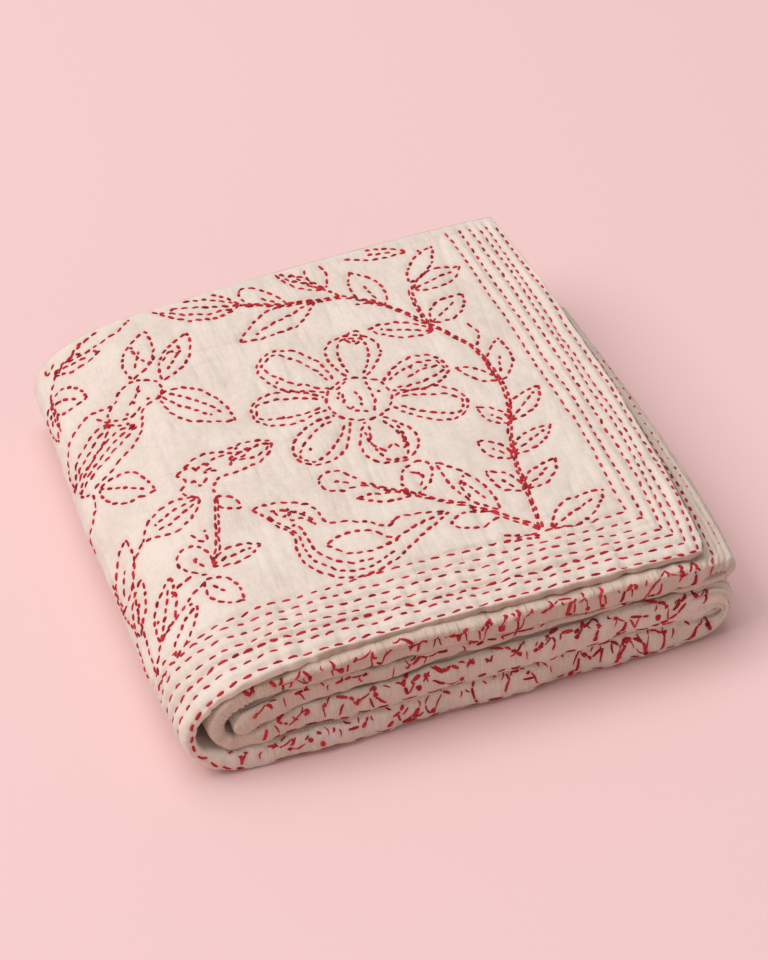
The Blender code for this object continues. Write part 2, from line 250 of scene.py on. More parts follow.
@dataclass
class FoldedPath:
    """The route of the cloth's middle through the stack, seen from the front."""

    layer_gap: float = 0.0010
    dense_step: float = 0.0006
    smooth_span: float = 0.0045
    hem_round: float = 0.0030
    hem_least: float = 0.42
    core_round: float = 0.0075
    core_least: float = 0.22
    least_thick: float = 0.00176
    waver: float = 0.0009
    waver_length: float = 0.105
    quarter: float = 1.15               # a quarter oval's length over its chord
    top_part: Stretch = Stretch(TOP, 0.0, BASE, -0.03, 0.03)
    even: Points = field(init=False)
    rows: Points = field(init=False)
    tangent: Points = field(init=False)
    starts: list[float] = field(init=False)

    def __post_init__(self) -> None:
        """Walk the route once and smooth it."""
        layers = {i: self.layer_rows(leg) for i, leg in enumerate(LEGS) if isinstance(leg, Layer)}
        parts = [layers[i] if i in layers
                 else self.fold_rows(leg, layers[i - 1][-1], layers[i + 1][0])
                 for i, leg in enumerate(LEGS)]
        data = np.concatenate(parts)
        steps = np.hypot(np.diff(data[:, 0]), np.diff(data[:, 1]))
        length = np.concatenate(([0.0], np.cumsum(steps)))
        marks = np.cumsum([0] + [len(part) for part in parts[:-1]])
        self.starts = [float(length[mark]) for mark in marks] + [float(length[-1])]
        self.even = np.arange(0.0, length[-1], self.dense_step)
        data = np.stack([np.interp(self.even, length, column) for column in data.T], 1)
        self.rows = self.smoothed(data)
        tangent = np.gradient(self.rows[:, :2], axis=0)
        self.tangent = tangent / np.linalg.norm(tangent, axis=1)[:, None]

    @property
    def total(self) -> float:
        """The whole length of the route."""
        return float(self.even[-1])

    @staticmethod
    def height(column: str, x: Points) -> Points:
        """Find a layer's upper side, or the top layer's thickness.

        Args:
            column: The column of the sections.
            x: Places across the width.

        Returns:
            Its values, smooth between the sections.
        """
        xs = np.array([row.x for row in SECTIONS])
        ys = np.array([getattr(row, column) for row in SECTIONS])
        slopes = np.gradient(ys, xs)
        i = np.clip(np.searchsorted(xs, x) - 1, 0, len(xs) - 2)
        span = xs[i + 1] - xs[i]
        t = unit((x - xs[i]) / span)
        return ((2 * t ** 3 - 3 * t ** 2 + 1) * ys[i]
                + (t ** 3 - 2 * t ** 2 + t) * span * slopes[i]
                + (-2 * t ** 3 + 3 * t ** 2) * ys[i + 1]
                + (t ** 3 - t ** 2) * span * slopes[i + 1])

    @staticmethod
    def edges(leg: Layer | Fold, t: Points) -> list[Points]:
        """Find a leg's edges.

        Args:
            leg: The layer or fold.
            t: Shares of its length.

        Returns:
            Its front, its back and its rounding at those shares.
        """
        weights = (2 * (t - 0.5) * (t - 1), 4 * t * (1 - t), 2 * t * (t - 0.5))
        front, back = (sum(weight * value for weight, value in zip(weights, ends))
                       for ends in (leg.front, leg.back))
        return [front, back, np.full_like(t, leg.round_in)]

    def layer_rows(self, leg: Layer) -> Points:
        """Sample a level stretch.

        Args:
            leg: The layer.

        Returns:
            Rows of x, z, thickness, front, back and rounding.
        """
        count = int(abs(leg.end - leg.start) / self.dense_step)
        t = np.arange(count) / count
        x = leg.start + (leg.end - leg.start) * t
        high = self.height(leg.level.value, x)
        if leg.level is Level.TOP:
            low = high - self.height("thick", x)
        elif leg.level is Level.BASE:
            low = np.zeros_like(high)
        else:
            levels = list(Level)
            below = levels[levels.index(leg.level) - 1]
            low = self.height(below.value, x) + self.layer_gap
        return np.stack([x, (low + high) / 2, high - low, *self.edges(leg, t)], 1)

    def fold_rows(self, leg: Fold, before: Points, after: Points) -> Points:
        """Sample a turn as two quarter ovals.

        Args:
            leg: The fold.
            before: Last row of the stretch before it.
            after: First row of the stretch after it.

        Returns:
            Rows as layer_rows gives them.
        """
        rows = []
        for end, first in ((before, True), (after, False)):
            reach, rise = end[0] - leg.tip_x, end[1] - leg.tip_z
            count = max(8, int(math.hypot(reach, rise) * self.quarter / self.dense_step))
            t = np.arange(count) / count
            angle = (t if first else 1.0 - t) * math.pi / 2
            thick = leg.tip_thick + (end[2] - leg.tip_thick) * np.cos(angle) ** 2
            share = t / 2 if first else 0.5 + t / 2
            rows.append(np.stack([leg.tip_x + reach * (1.0 - np.sin(angle)),
                                  leg.tip_z + rise * np.cos(angle),
                                  thick, *self.edges(leg, share)], 1))
        return np.concatenate(rows)

    def smoothed(self, data: Points) -> Points:
        """Smooth each column of the route's rows; edges over a longer span."""
        half = int(self.smooth_span / self.dense_step)
        result = data.copy()
        for column in range(data.shape[1]):
            width = half if column < 3 else 6 * half
            kernel = np.hanning(2 * width + 3)[1:-1]
            line = data[:, column]
            before = 2 * line[0] - line[width:0:-1]
            after = 2 * line[-1] - line[-2:-width - 2:-1]
            padded = np.concatenate((before, line, after))
            result[:, column] = np.convolve(padded, kernel / kernel.sum(), "valid")
        return result

    def at(self, s: Points) -> PathRows:
        """Read the cross-section.

        Args:
            s: Lengths along the route.

        Returns:
            The rows at those lengths.
        """
        x, z, thick, front, back, round_in, along_x, along_z = (
            np.interp(s, self.even, column) for column in (*self.rows.T, *self.tangent.T))
        scale = np.hypot(along_x, along_z)
        for distance, radius, least in ((s, self.hem_round, self.hem_least),
                                        (self.total - s, self.core_round, self.core_least)):
            share = unit(1.0 - distance / radius)
            thick = thick * (least + (1.0 - least) * np.sqrt(1.0 - share ** 2))
        stacked = 1.0 - self.top_part.share(self.starts, s)
        front = front + stacked * self.waver * np.sin(s / self.waver_length * 2 * math.pi)
        return PathRows(x, z, np.maximum(thick, self.least_thick), front, back, round_in,
                        along_z / scale, -along_x / scale)


@dataclass(frozen=True)
class Border:
    """Ruled lines of running stitch along the front and the right hem.

    Front lines give y at stations across, side lines give the distance from the
    hem at stations along the depth, both in tenths of a millimetre. The pairs of
    one corner meet in a mitre.
    """

    stations: tuple[float, ...] = (-0.060, 0.000, 0.040, 0.075, 0.190, 0.290, 0.345)
    front: tuple[tuple[int, ...], ...] = (
        (-66, -24, 6, 16, 28, 30, 12),
        (70, 88, 118, 124, 127, 116, 114),
        (170, 185, 204, 204, 189, 192, 209),
        (258, 272, 270, 250, 258, 258, 272),
        (360, 385, 366, 330, 346, 338, 330),
        (430, 452, 436, 415, 416, 414, 408),
        (510, 500, 490, 485, 512, 500, 512),
    )
    depths: tuple[float, ...] = (0.000, 0.050, 0.120, 0.240, 0.370)
    side: tuple[tuple[int, ...], ...] = (
        (46, 21, 32, 42, 32),
        (114, 96, 105, 128, 101),
        (174, 154, 146, 167, 150),
        (229, 205, 209, 232, 226),
        (306, 298, 296, 316, 308),
        (382, 380, 372, 400, 412),
    )
    corners: tuple[float, ...] = (0.0, 1.0, 2.0, 3.0, 3.5, 4.0, 5.0)
    deep_line: int = 2
    waver: float = 0.00040
    before: float = 0.008               # width of the swell outside the first line
    beyond: float = 0.009               # and inside the last one

    def front_line(self, number: int, s: Points) -> Points:
        """Return the y of a front line at lengths along the route."""
        line = np.interp(HEM_X - s, self.stations, np.array(self.front[number]) / TENTHS)
        return line + self.waver * np.sin(s * 71.0 + number * 2.1) * (number > 0)

    def side_line(self, number: int, y: Points) -> Points:
        """Return how far a side line is from the hem at the depths y."""
        line = np.interp(y, self.depths, np.array(self.side[number]) / TENTHS)
        return line + self.waver * np.sin(y * 63.0 + number * 1.7)

    def crossed(self, value: Points, lines: list[Points]) -> Points:
        """Return the number of lines crossed at a point, with its fraction."""
        place = np.clip((value - lines[0]) / self.before, -1.0, 0.0)
        for near, far in zip(lines, lines[1:]):
            place = place + unit((value - near) / (far - near))
        return place + unit((value - lines[-1]) / self.beyond)

    def places(self, s: Points, y: Points) -> tuple[Points, Points]:
        """Return the numbers of front lines and of side lines crossed."""
        return (self.crossed(y, [self.front_line(k, s) for k in range(len(self.front))]),
                self.crossed(s, [self.side_line(k, y) for k in range(len(self.side))]))


@dataclass
class Relief:
    """How the surface of the cloth rises and sinks."""

    border: Border
    starts: list[float]
    crest: float = 0.00070              # channels between the border's lines
    valley: float = 0.00050
    uneven: float = 0.55
    uneven_scale: float = 61.0          # scales are in bumps to a metre
    lump: float = 0.00095
    lump_scale: Place = (150.0, 70.0)
    deep: float = 0.0020                # the crease along the border's deep line
    deep_place: float = 0.16
    deep_width: float = 0.19
    deep_span: Triple = (0.05, 0.29, 0.05)
    inner_edge: float = 6.6
    crinkle: float = 0.00095            # the field between the motifs
    crinkle_parts: Triple = (0.85, 0.45, 1.1)
    square_scales: tuple[Place, Place] = ((92.0, 30.0), (30.0, 80.0))
    ripple_scale: Place = (210.0, 120.0)
    crease_scales: tuple[Place, Place] = ((78.0, 17.0), (62.0, 19.0))
    crease_width: float = 0.15
    dimple: float = 0.00085
    dimple_reach: float = 0.0023
    pucker: float = 0.0016              # the stacked front folds
    pucker_parts: Triple = (0.75, 0.60, 0.9)
    pucker_scales: Triple = (74.0, 150.0, 47.0)
    calm: float = 0.6
    pleat: float = 0.0021
    pleat_pitch: float = 0.0046
    end_rib: float = 0.0026
    end_grooves: tuple[float, ...] = (0.14, 0.34, 0.55, 0.76)
    end_width: float = 0.045
    shoulder: float = 0.0017
    left_shoulder: float = 0.0030
    lip: float = 0.0009
    lip_place: float = 0.64
    lip_width: float = 0.030
    fill: tuple[float, float] = (0.0060, 0.0022)
    fill_round: float = 0.12
    rib_pitch: float = 0.0043           # the right sides of the layers
    rib_rise: float = 0.0019
    roll_pitch: float = 0.0093
    roll_line: float = 0.0016
    roll_channels: int = 6
    roll_end: Stretch = Stretch(RIGHT_ROLL, 0.0, LOWER, 0.004, 0.016)
    roll_fill: Stretch = Stretch(RIGHT_ROLL, -0.004, LOWER, 0.004, 0.016)
    roll_side: Stretch = Stretch(RIGHT_ROLL, 0.008, LOWER, -0.008, 0.02)
    core_fill: Stretch = Stretch(UPPER_ROLL, -0.004, CORE, 0.004, 0.012)
    turn: Stretch = Stretch(INNER_FOLD, 0.016, INNER_FOLD, 0.056, 0.010)
    upper: Stretch = Stretch(UPPER, 0.010, UPPER_ROLL, -0.004, 0.010)
    upper_left: Stretch = Stretch(UPPER, -0.020, UPPER, 0.100, 0.035)
    upper_end: Stretch = Stretch(UPPER_ROLL, -0.0135, UPPER_ROLL, 0.006, 0.003)
    under_base: Stretch = Stretch(BASE, 0.02, RIGHT_ROLL, -0.03, 0.03)
    under_lower: Stretch = Stretch(LOWER, 0.04, INNER_FOLD, -0.01, 0.03)
    coarse: Crinkle = field(default_factory=lambda: Crinkle(11))
    fine: Crinkle = field(default_factory=lambda: Crinkle(23))
    tree: KDTree | None = None

    def learn(self, stitches: Points) -> None:
        """Remember where the thread pulls the cloth down, in cloth coordinates."""
        self.tree = KDTree(len(stitches))
        for i, (s, w) in enumerate(stitches):
            self.tree.insert((s, w, 0.0), i)
        self.tree.balance()

    def nearness(self, s: Points, w: Points) -> Points:
        """Return how near the thread is: 1 at a stitch and 0 away from it."""
        near = np.zeros(s.shape)
        if self.tree is None:
            return near
        flat_s, flat_w, flat = s.ravel(), w.ravel(), near.ravel()
        for i in range(len(flat)):
            distance = self.tree.find((flat_s[i], flat_w[i], 0.0))[2]
            flat[i] = math.exp(-(distance / self.dimple_reach) ** 2)
        return flat.reshape(s.shape)

    def wave(self, place: Points) -> Points:
        """Return the padded rise between lines, which lie at the whole numbers."""
        return (self.crest + self.valley) * np.sin(place * math.pi) ** 2 - self.valley

    def puff(self, place: Points, last: int) -> Points:
        """Return the rise of a channel from the number of lines crossed."""
        return self.wave(place) * unit(1.0 + place * 1.5) * unit((last + 1.0 - place) * 1.3)

    def channels(self, s: Points, y: Points) -> Points:
        """Return the padded channels between the border's lines, lumpy along their run."""
        border = self.border
        front, side = border.places(s, y)
        ahead = side - np.interp(front, range(len(border.corners)), border.corners)
        nearer = unit(ahead * 3.0 + 0.5)
        rise = (nearer * self.puff(front, len(border.front) - 1)
                + (1.0 - nearer) * self.puff(side, len(border.side) - 1))
        crease = bell(front - border.deep_line + self.deep_place, self.deep_width)
        inside = unit(np.minimum(np.minimum(front, side) + 1.0, self.inner_edge - front) * 1.4)
        across, along = self.lump_scale
        lumps = (self.fine.at(s * across, y * along) * nearer
                 + self.fine.at(s * along, y * across) * (1.0 - nearer))
        uneven = self.coarse.at(s * self.uneven_scale, y * self.uneven_scale)
        return (rise * (1.0 + self.uneven * uneven) + inside * self.lump * lumps
                - nearer * self.deep * crease * window(HEM_X - s, *self.deep_span))

    def field_crinkle(self, s: Points, w: Points) -> Points:
        """Return the soft crinkles of the hand-quilted field."""
        (s_one, w_one), (s_two, w_two) = self.square_scales
        squares = (self.coarse.at(s * s_one, w * w_one)
                   + 0.7 * self.fine.at(s * s_two + 7.0, w * w_two))
        ripple = self.fine.at(s * self.ripple_scale[0], w * self.ripple_scale[1] + 3.0)
        (s_across, w_along), (w_across, s_along) = self.crease_scales
        crease = (self.crease(s * s_across, w * w_along, self.coarse)
                  + 0.8 * self.crease(w * w_across + 3.0, s * s_along, self.fine))
        square, small, sunk = self.crinkle_parts
        return self.crinkle * (square * squares + small * ripple - sunk * crease)

    def crease(self, across: Points, along: Points, uneven: Crinkle) -> Points:
        """Return narrow wandering creases, one to each unit across and fading along."""
        place = across + 0.9 * uneven.at(across * 0.31, along * 0.9)
        cell = np.floor(place)
        strength = unit(0.15 + 1.1 * uneven.at(cell * 1.7, along * 1.3 + cell * 3.1))
        return strength * bell(place - cell - 0.5, self.crease_width)

    @staticmethod
    def swell(x: Points, y: Points) -> Points:
        """Return the gentle unevenness of the whole top."""
        return 0.0005 * np.sin(x * 31.0 + y * 11.0) + 0.0004 * np.sin(y * 43.0 - x * 17.0 + 1.3)

    def front_puckers(self, s: Points, share: Points) -> Points:
        """Return the puckers of the stacked front folds under the top layer.

        Args:
            s: Lengths along the route.
            share: Shares of the front fold's girth, 0 where the face begins.

        Returns:
            The rise of the cloth there.
        """
        near = window(share, 0.06, 0.94, 0.22)
        deep_scale, small_scale, tuck_scale = self.pucker_scales
        deep = self.coarse.at(s * deep_scale + share * 0.9, share * 1.6 + 5.0)
        small = self.fine.at(s * small_scale + share * 1.8, share * 2.2)
        tuck = self.fine.at(s * tuck_scale - share * 1.1, share * 1.2 + 9.0)
        roll = self.roll_end.share(self.starts, s)
        drift = share + 0.02 * np.sin(s * 130.0)
        ends = -roll * self.end_rib * sum(bell(drift - groove, self.end_width)
                                          for groove in self.end_grooves)
        large, fine, sunk = self.pucker_parts
        puckers = large * deep + fine * small - sunk * unit(tuck - 0.25)
        turn = self.turn.share(self.starts, s)
        waver = s + 0.004 * share + 0.0012 * np.sin(s * 310.0)
        pleats = np.abs(np.sin(waver / self.pleat_pitch * math.pi)) - 0.6
        inner = turn * self.pleat * pleats * unit(1.3 - 1.5 * share) * (0.7 + 0.5 * deep)
        shoulder = (self.upper.share(self.starts, s) * self.shoulder
                    + self.upper_left.share(self.starts, s) * self.left_shoulder)
        calm = 1.0 - self.calm * np.maximum(roll, turn)
        return (near * (self.pucker * puckers * calm + ends + inner)
                + shoulder * window(share, 0.84, 1.20, 0.24))

    def filling(self, s: Points, share: Points, level: Points) -> Points:
        """Return how far the inner sides of the folds on the right swell to close them."""
        lower = self.roll_fill.share(self.starts, s) * unit(share * 5.0 - 4.2)
        upper = self.core_fill.share(self.starts, s) * unit(0.8 - share * 5.0)
        return np.abs(level) ** self.fill_round * (self.fill[0] * lower + self.fill[1] * upper)

    def lips(self, s: Points, share: Points) -> Points:
        """Return the hem lips along the lower edges of the base and lower folds."""
        base = bell(share - 1.0 + self.lip_place, self.lip_width)
        lower = bell(share - self.lip_place, self.lip_width)
        return -self.lip * (self.under_base.share(self.starts, s) * base
                            + self.under_lower.share(self.starts, s) * lower)

    def ribs(self, s: Points, w: Points, share: Points) -> Points:
        """Return the ribs along the right end of the upper layer."""
        past = s - self.starts[UPPER_ROLL] + 0.0006 * np.sin(w * 40.0)
        wave = np.abs(np.sin(past / self.rib_pitch * math.pi))
        shown = self.upper_end.share(self.starts, s) * unit(share * 4.0 - 0.2)
        return shown * self.rib_rise * (wave - 0.75)

    def roll(self, s: Points, past: Points) -> Points:
        """Return the channels round the lower right roll, from depths past the rim."""
        place = (past - self.roll_line) / self.roll_pitch
        return (self.roll_side.share(self.starts, s) * self.wave(place)
                * ((place > 0.0) & (place < self.roll_channels)))


@dataclass
class ClothSurface:
    """Maps cloth coordinates to space.

    s is the length along the route. w is the girth round the two plies: 0 where
    the face meets the front fold, positive on the face, negative round the
    front fold and then along the under side.
    """

    path: FoldedPath
    relief: Relief
    depth: float = 0.369
    width: float = 0.37
    right_bow: float = 0.0115
    bow_powers: Place = (0.75, 0.7)
    under_reach: float = 0.0022         # the layers under the top, at the right
    under_slant: float = 0.041
    left_inset: float = 0.0056          # the left side's run from front to back
    inset_run: float = 0.085
    inset_width: float = 0.13
    left_belly: float = 0.0026
    belly_place: float = 0.222
    belly_run: float = 0.045
    corner: float = 0.0020              # the top's rounded front right corner
    corner_depth: float = 0.011
    corner_width: float = 0.013
    floor_snap: float = 0.0003
    hem_stagger: float = 0.0016
    hem_width: float = 0.02
    ply_chamfer: float = 0.0016
    back_run: float = 0.01
    rim: float = 0.0034
    bulge: float = 0.74                 # roundness of the front folds
    square: float = 0.62
    under_square: float = 0.28
    step: float = 0.0006                # half the distance that a slope is taken over
    top_part: Stretch = Stretch(TOP, 0.0, BASE, -0.03, 0.03)
    crinkled: Stretch = Stretch(TOP, 0.0, BASE, -0.01, 0.02)
    unstacked: Stretch = Stretch(TOP, 0.0, BASE, -0.02, 0.02)
    pressed: tuple[Stretch, Stretch] = (Stretch(TOP, -1.0, LEFT_FOLD, -0.010, 0.020),
                                        Stretch(UPPER, 0.010, UPPER_ROLL, -0.010, 0.020))

    def girth(self, s: Points, y: Points) -> Points:
        """Find the girth of points on the face.

        Args:
            s: Lengths along the route.
            y: Depths, also on the upper half of the front fold.

        Returns:
            Their w.
        """
        rows = self.path.at(s)
        inside = unit((rows.face - y) / rows.round_in)
        angle = np.arccos(inside ** (1 / self.bulge))
        on_arc = (angle - math.pi / 2) / math.pi * rows.arc
        return np.where(y >= rows.face, y - rows.face, on_arc)

    def place(self, s: Points, w: Points, lift: float | Points = 0.0,
              dimples: bool = True) -> Points:
        """Find points of the surface.

        Args:
            s: Lengths along the route.
            w: Girths.
            lift: How far above the surface.
            dimples: Whether the pull of single stitches counts.

        Returns:
            The points, one row of x, y and z each, in the model's frame.
        """
        rows = self.path.at(s)
        arc, start = rows.arc, rows.face
        angle = np.clip(math.pi / 2 + math.pi * w / arc, -math.pi / 2, math.pi / 2)
        sine, cosine = np.sin(angle), np.abs(np.cos(angle))
        pressed = (w < -arc / 2) * np.maximum(*(part.share(self.path.starts, s)
                                                for part in self.pressed))
        power = self.square + (self.under_square - self.square) * pressed
        on_arc = rows.front + rows.round_in * (1.0 - cosine ** self.bulge)
        y = np.where(w > 0.0, start + w, np.where(w < -arc, start - w - arc, on_arc))
        rise = lift + self.raised(s, w, y, rows)
        if dimples:
            rise = rise - self.relief.dimple * self.relief.nearness(s, w)
        offset = rows.thick / 2 * (np.sign(sine) * np.abs(sine) ** power) + sine * rise
        return self.settle(s, rows, y - cosine * rise, offset)

    def raised(self, s: Points, w: Points, y: Points, rows: PathRows) -> Points:
        """Return the relief of the cloth at points of the surface."""
        starts, relief, share = self.path.starts, self.relief, -w / rows.arc
        back_edge = unit((rows.back - y) / self.back_run)
        shown = self.top_part.share(starts, s) * unit(1.0 + (w / rows.arc + 0.5) * 4.0)
        top = relief.channels(s, y) + relief.swell(rows.x, y)
        crinkle = relief.field_crinkle(s, w) * self.crinkled.share(starts, s)
        stacked = 1.0 - self.unstacked.share(starts, s)
        inner = stacked * (relief.front_puckers(s, share) + relief.lips(s, share))
        roll = (w > 0) * relief.roll(s, y - (rows.face - self.rim))
        return (back_edge * (shown * top + crinkle + roll) + inner
                + relief.ribs(s, w, share) + relief.filling(s, share, rows.normal_z))

    def settle(self, s: Points, rows: PathRows, y: Points, offset: Points) -> Points:
        """Set a point off the route and bend it with the whole stack.

        Args:
            s: Lengths along the route.
            rows: The rows there.
            y: Depths.
            offset: Distances from the route, positive on the face's side.

        Returns:
            The points in the model's frame.
        """
        hem = unit(1.0 - s / self.hem_width) * (offset < 0.0)
        x = rows.x + rows.normal_x * offset + self.hem_stagger * hem
        z = rows.z + rows.normal_z * offset
        across, along = unit(x / self.width), unit(y / self.depth)
        early, full = self.bow_powers
        bow = self.right_bow * np.abs(np.sin(math.pi * along ** early)) ** full
        under = (s > self.path.starts[BASE]) * (self.under_reach
                                                - self.under_slant * along * self.depth)
        inset = (self.left_inset * np.clip(1.0 - y / self.inset_run, 0.0, 1.15) ** 2
                 - self.left_belly * bell(y - self.belly_place, self.belly_run))
        x = x + (bow + under) * across ** 3 + inset * unit(1.0 - x / self.inset_width) ** 2
        corner = (self.corner * unit(1.0 - y / self.corner_depth) ** 2
                  * unit(1.0 - s / self.corner_width) ** 2)
        z = np.where(z > self.floor_snap, z, 0.0)
        return np.stack([x - corner, y + 0.5 * corner, z], -1) - CENTRE

    def normals(self, s: Points, w: Points) -> Points:
        """Return the outward normals of the surface without its dimples."""
        along, across = (self.place(s + ds, w + dw, dimples=False)
                         - self.place(s - ds, w - dw, dimples=False)
                         for ds, dw in ((self.step, 0.0), (0.0, self.step)))
        normal = np.cross(across, along)
        return normal / np.linalg.norm(normal, axis=-1)[..., None]


@dataclass
class QuiltCloth:
    """The quilted cotton itself: one closed mesh of two plies through the stack."""

    surface: ClothSurface
    name: str = "quilt_cloth"
    flat: Place = (0.73, 1.86)
    near_step: float = 0.00155          # columns of the mesh, round the plies
    near_count: int = 40
    far_count: int = 160
    arc_count: int = 20
    under_count: int = 8
    under_power: float = 1.6
    sparse_far: int = 20
    sparse_near: int = 3
    slot_count: int = 2                 # the slot between the plies
    slot: float = 0.0008
    slot_start: float = 0.003
    slot_point: float = 0.0008
    ply_round: float = 0.4
    ply_stagger: float = 0.0030
    hem_rows: tuple[float, ...] = (0.0, 0.12, 0.45, 1.0)
    core_rows: tuple[float, ...] = (0.25, 0.5, 0.8, 0.95, 1.0)
    rim_rows: float = 0.0013            # rows of the mesh, along the route
    rim_end: float = 0.052
    top_rows: float = 0.0019
    top_past: float = 0.012
    stack_rows: float = 0.0026
    pleat_rows: float = 0.0010
    pleated: tuple[Stretch, ...] = (Stretch(INNER_FOLD, -0.006, UPPER, 0.008),
                                    Stretch(UPPER_ROLL, -0.016, UPPER_ROLL, 0.010))
    fold_shade: float = 0.55
    thread_shade: float = 0.38
    # Painted shade in the stacked front folds, level by level along the stack, and under the top
    # layer's front rim.
    fold_shade_levels: tuple[float, ...] = (0.0, 0.45, 0.60, 1.35, 1.25, 0.85, 1.15)
    rim_shade: float = 1.7
    rim_fade: Place = (0.24, 0.2)
    top_fade: float = 0.03
    front_edge: float = -0.001

    def row_lengths(self) -> tuple[Points, int]:
        """Return the lengths of the mesh rows and the number of closely set ones."""
        path = self.surface.path
        hem = np.array(self.hem_rows) * path.hem_round
        rim = np.arange(hem[-1] + self.rim_rows, self.rim_end, self.rim_rows)
        last_top = path.starts[BASE] + self.top_past
        top = np.arange(rim[-1] + self.top_rows, last_top, self.top_rows)
        core = path.total - path.core_round
        pleated = [part.ends(path.starts) for part in self.pleated]
        stack, place = [], float(top[-1])
        while place < core - self.stack_rows:
            fine = any(first < place < last for first, last in pleated)
            place += self.pleat_rows if fine else self.stack_rows
            stack.append(place)
        tail = path.total - path.core_round * (1.0 - np.array(self.core_rows))
        dense = len(hem) + len(rim) + len(top)
        return np.concatenate((hem, rim, top, stack, tail)), dense

    def grid(self, s: Points) -> tuple[Points, Points, list[int]]:
        """Find the loop of points round the plies at each row.

        Args:
            s: Lengths of the rows.

        Returns:
            The points, their girths, and the columns that the sparse rows keep.
        """
        surface = self.surface
        rows = surface.path.at(s)
        upper_back = rows.back - surface.ply_chamfer
        face_end = upper_back - rows.face
        under_end = face_end - self.ply_stagger
        near = [np.full_like(s, i * self.near_step) for i in range(self.near_count)]
        far = [near[-1] + (face_end - near[-1]) * (i / self.far_count)
               for i in range(1, self.far_count + 1)]
        face = list(reversed(near + far))
        round_fold = [-rows.arc * i / self.arc_count for i in range(1, self.arc_count + 1)]
        shares = (np.arange(1, self.under_count + 1) / self.under_count) ** self.under_power
        under = [-rows.arc - under_end * share for share in shares]
        girths = np.stack(face + round_fold + under, 1)
        shown = surface.place(np.repeat(s[:, None], girths.shape[1], 1), girths)
        inner = self.between_plies(rows)
        hidden = np.stack([surface.settle(s, rows, y, offset) for y, offset in inner], 1)
        hidden_girth = np.stack([-rows.arc - under_end - MM * (i + 1)
                                 for i in range(len(inner))], 1)
        keep = {c for c in range(self.far_count) if c % self.sparse_far == 0}
        keep.update(c for c in range(self.far_count, len(face))
                    if (len(face) - 1 - c) % self.sparse_near == 0)
        keep.update(range(len(face), girths.shape[1] + len(inner)))
        return (np.concatenate((shown, hidden), 1),
                np.concatenate((girths, hidden_girth), 1), sorted(keep))

    def between_plies(self, rows: PathRows) -> list[tuple[Points, float | Points]]:
        """Find the points at the plies' back ends and in the slot between them.

        Args:
            rows: The rows of the cross-section.

        Returns:
            Their depths and their distances from the route, from the lower ply up.
        """
        middle, half = (rows.thick + self.slot) / 4, (rows.thick - self.slot) / 4
        lower_end = rows.back - self.ply_stagger
        lower_back = lower_end - self.surface.ply_chamfer
        upper_back = rows.back - self.surface.ply_chamfer
        front = rows.face + self.slot_start
        steps = [i / self.slot_count for i in range(self.slot_count + 1)]
        rounding = self.ply_round * half
        return [(lower_end, -(middle + rounding)), (lower_end, -(middle - rounding)),
                *((lower_back + (front - lower_back) * t, -self.slot / 2) for t in steps),
                (front - self.slot_point, 0.0),
                *((front + (upper_back - front) * t, self.slot / 2) for t in steps),
                (rows.back, middle - rounding), (rows.back, middle + rounding)]

    def build(self) -> bpy.types.Object:
        """Build the closed cloth mesh with its cloth coordinates."""
        lengths, dense = self.row_lengths()
        points, girths, keep = self.grid(lengths)
        every = list(range(points.shape[1]))
        vertices: list[Points] = []
        flat: list[Place] = []
        index: list[dict[int, int]] = []
        for row, length in enumerate(lengths):
            columns = every if row < dense else keep
            index.append({c: len(vertices) + k for k, c in enumerate(columns)})
            vertices.extend(points[row, columns])
            flat.extend((length, girths[row, c]) for c in columns)
        mesh = bpy.data.meshes.new(self.name)
        mesh.from_pydata([tuple(v) for v in vertices], [], self.faces(index))
        lay_out(mesh, "cloth", np.array(flat))
        self.shade_folds(mesh, *np.array(flat).T)
        self.close(mesh)
        return show(self.name, mesh)

    @staticmethod
    def faces(index: list[dict[int, int]]) -> list[list[int]]:
        """Join each row of points to the next one, and close the first and last.

        Args:
            index: For each row, the point that stands at each of its columns.

        Returns:
            The faces, each a list of points.
        """
        faces: list[list[int]] = []
        for here, there in zip(index, index[1:]):
            columns = list(there)
            for c, d in zip(columns, columns[1:] + columns[:1]):
                between = range(c, d + 1) if d > c else (c, d)
                side = [here[e] for e in between if e in here]
                faces.append(side + [there[d], there[c]])
        faces.append(list(reversed(index[0].values())))
        faces.append(list(index[-1].values()))
        return faces

    def shade_folds(self, mesh: bpy.types.Mesh, s: Points, w: Points) -> None:
        """Note the painted shade of each point, in the stacked folds and under the top rim, and how
        near the thread.

        Args:
            mesh: The cloth's mesh.
            s: Lengths of its points along the route.
            w: Their girths.
        """
        rows, starts = self.surface.path.at(s), self.surface.path.starts
        places = (starts[RIGHT_ROLL] + 0.02, starts[LOWER] + 0.03,
                  (starts[LOWER] + starts[INNER_FOLD]) / 2, starts[UPPER],
                  starts[UPPER_ROLL] - 0.06, starts[UPPER_ROLL] - 0.01, starts[CORE] + 0.03)
        front = np.where(w > self.front_edge, 0.0, 1.0)
        first, ramp = self.rim_fade
        # Painted shade on the underside of the top layer's front rim, which faces down and away
        # from the lamps.
        rim = self.rim_shade * unit((-w / rows.arc - first) / ramp) * (s < starts[LEFT_FOLD])
        stacked = np.interp(s, places, self.fold_shade_levels)
        # Painted shade: the stacked front folds, where shade falls between the layers, and the
        # underside of the top layer's rim are painted a darker, warmer cotton.
        note(mesh, "painted_fold_shade", self.fold_shade * (front * stacked + rim))
        past_top = unit((s - starts[BASE] + self.top_fade) / self.top_fade)
        note(mesh, "puckered", front * past_top)
        note(mesh, "stitched", self.thread_shade * self.surface.relief.nearness(s, w))

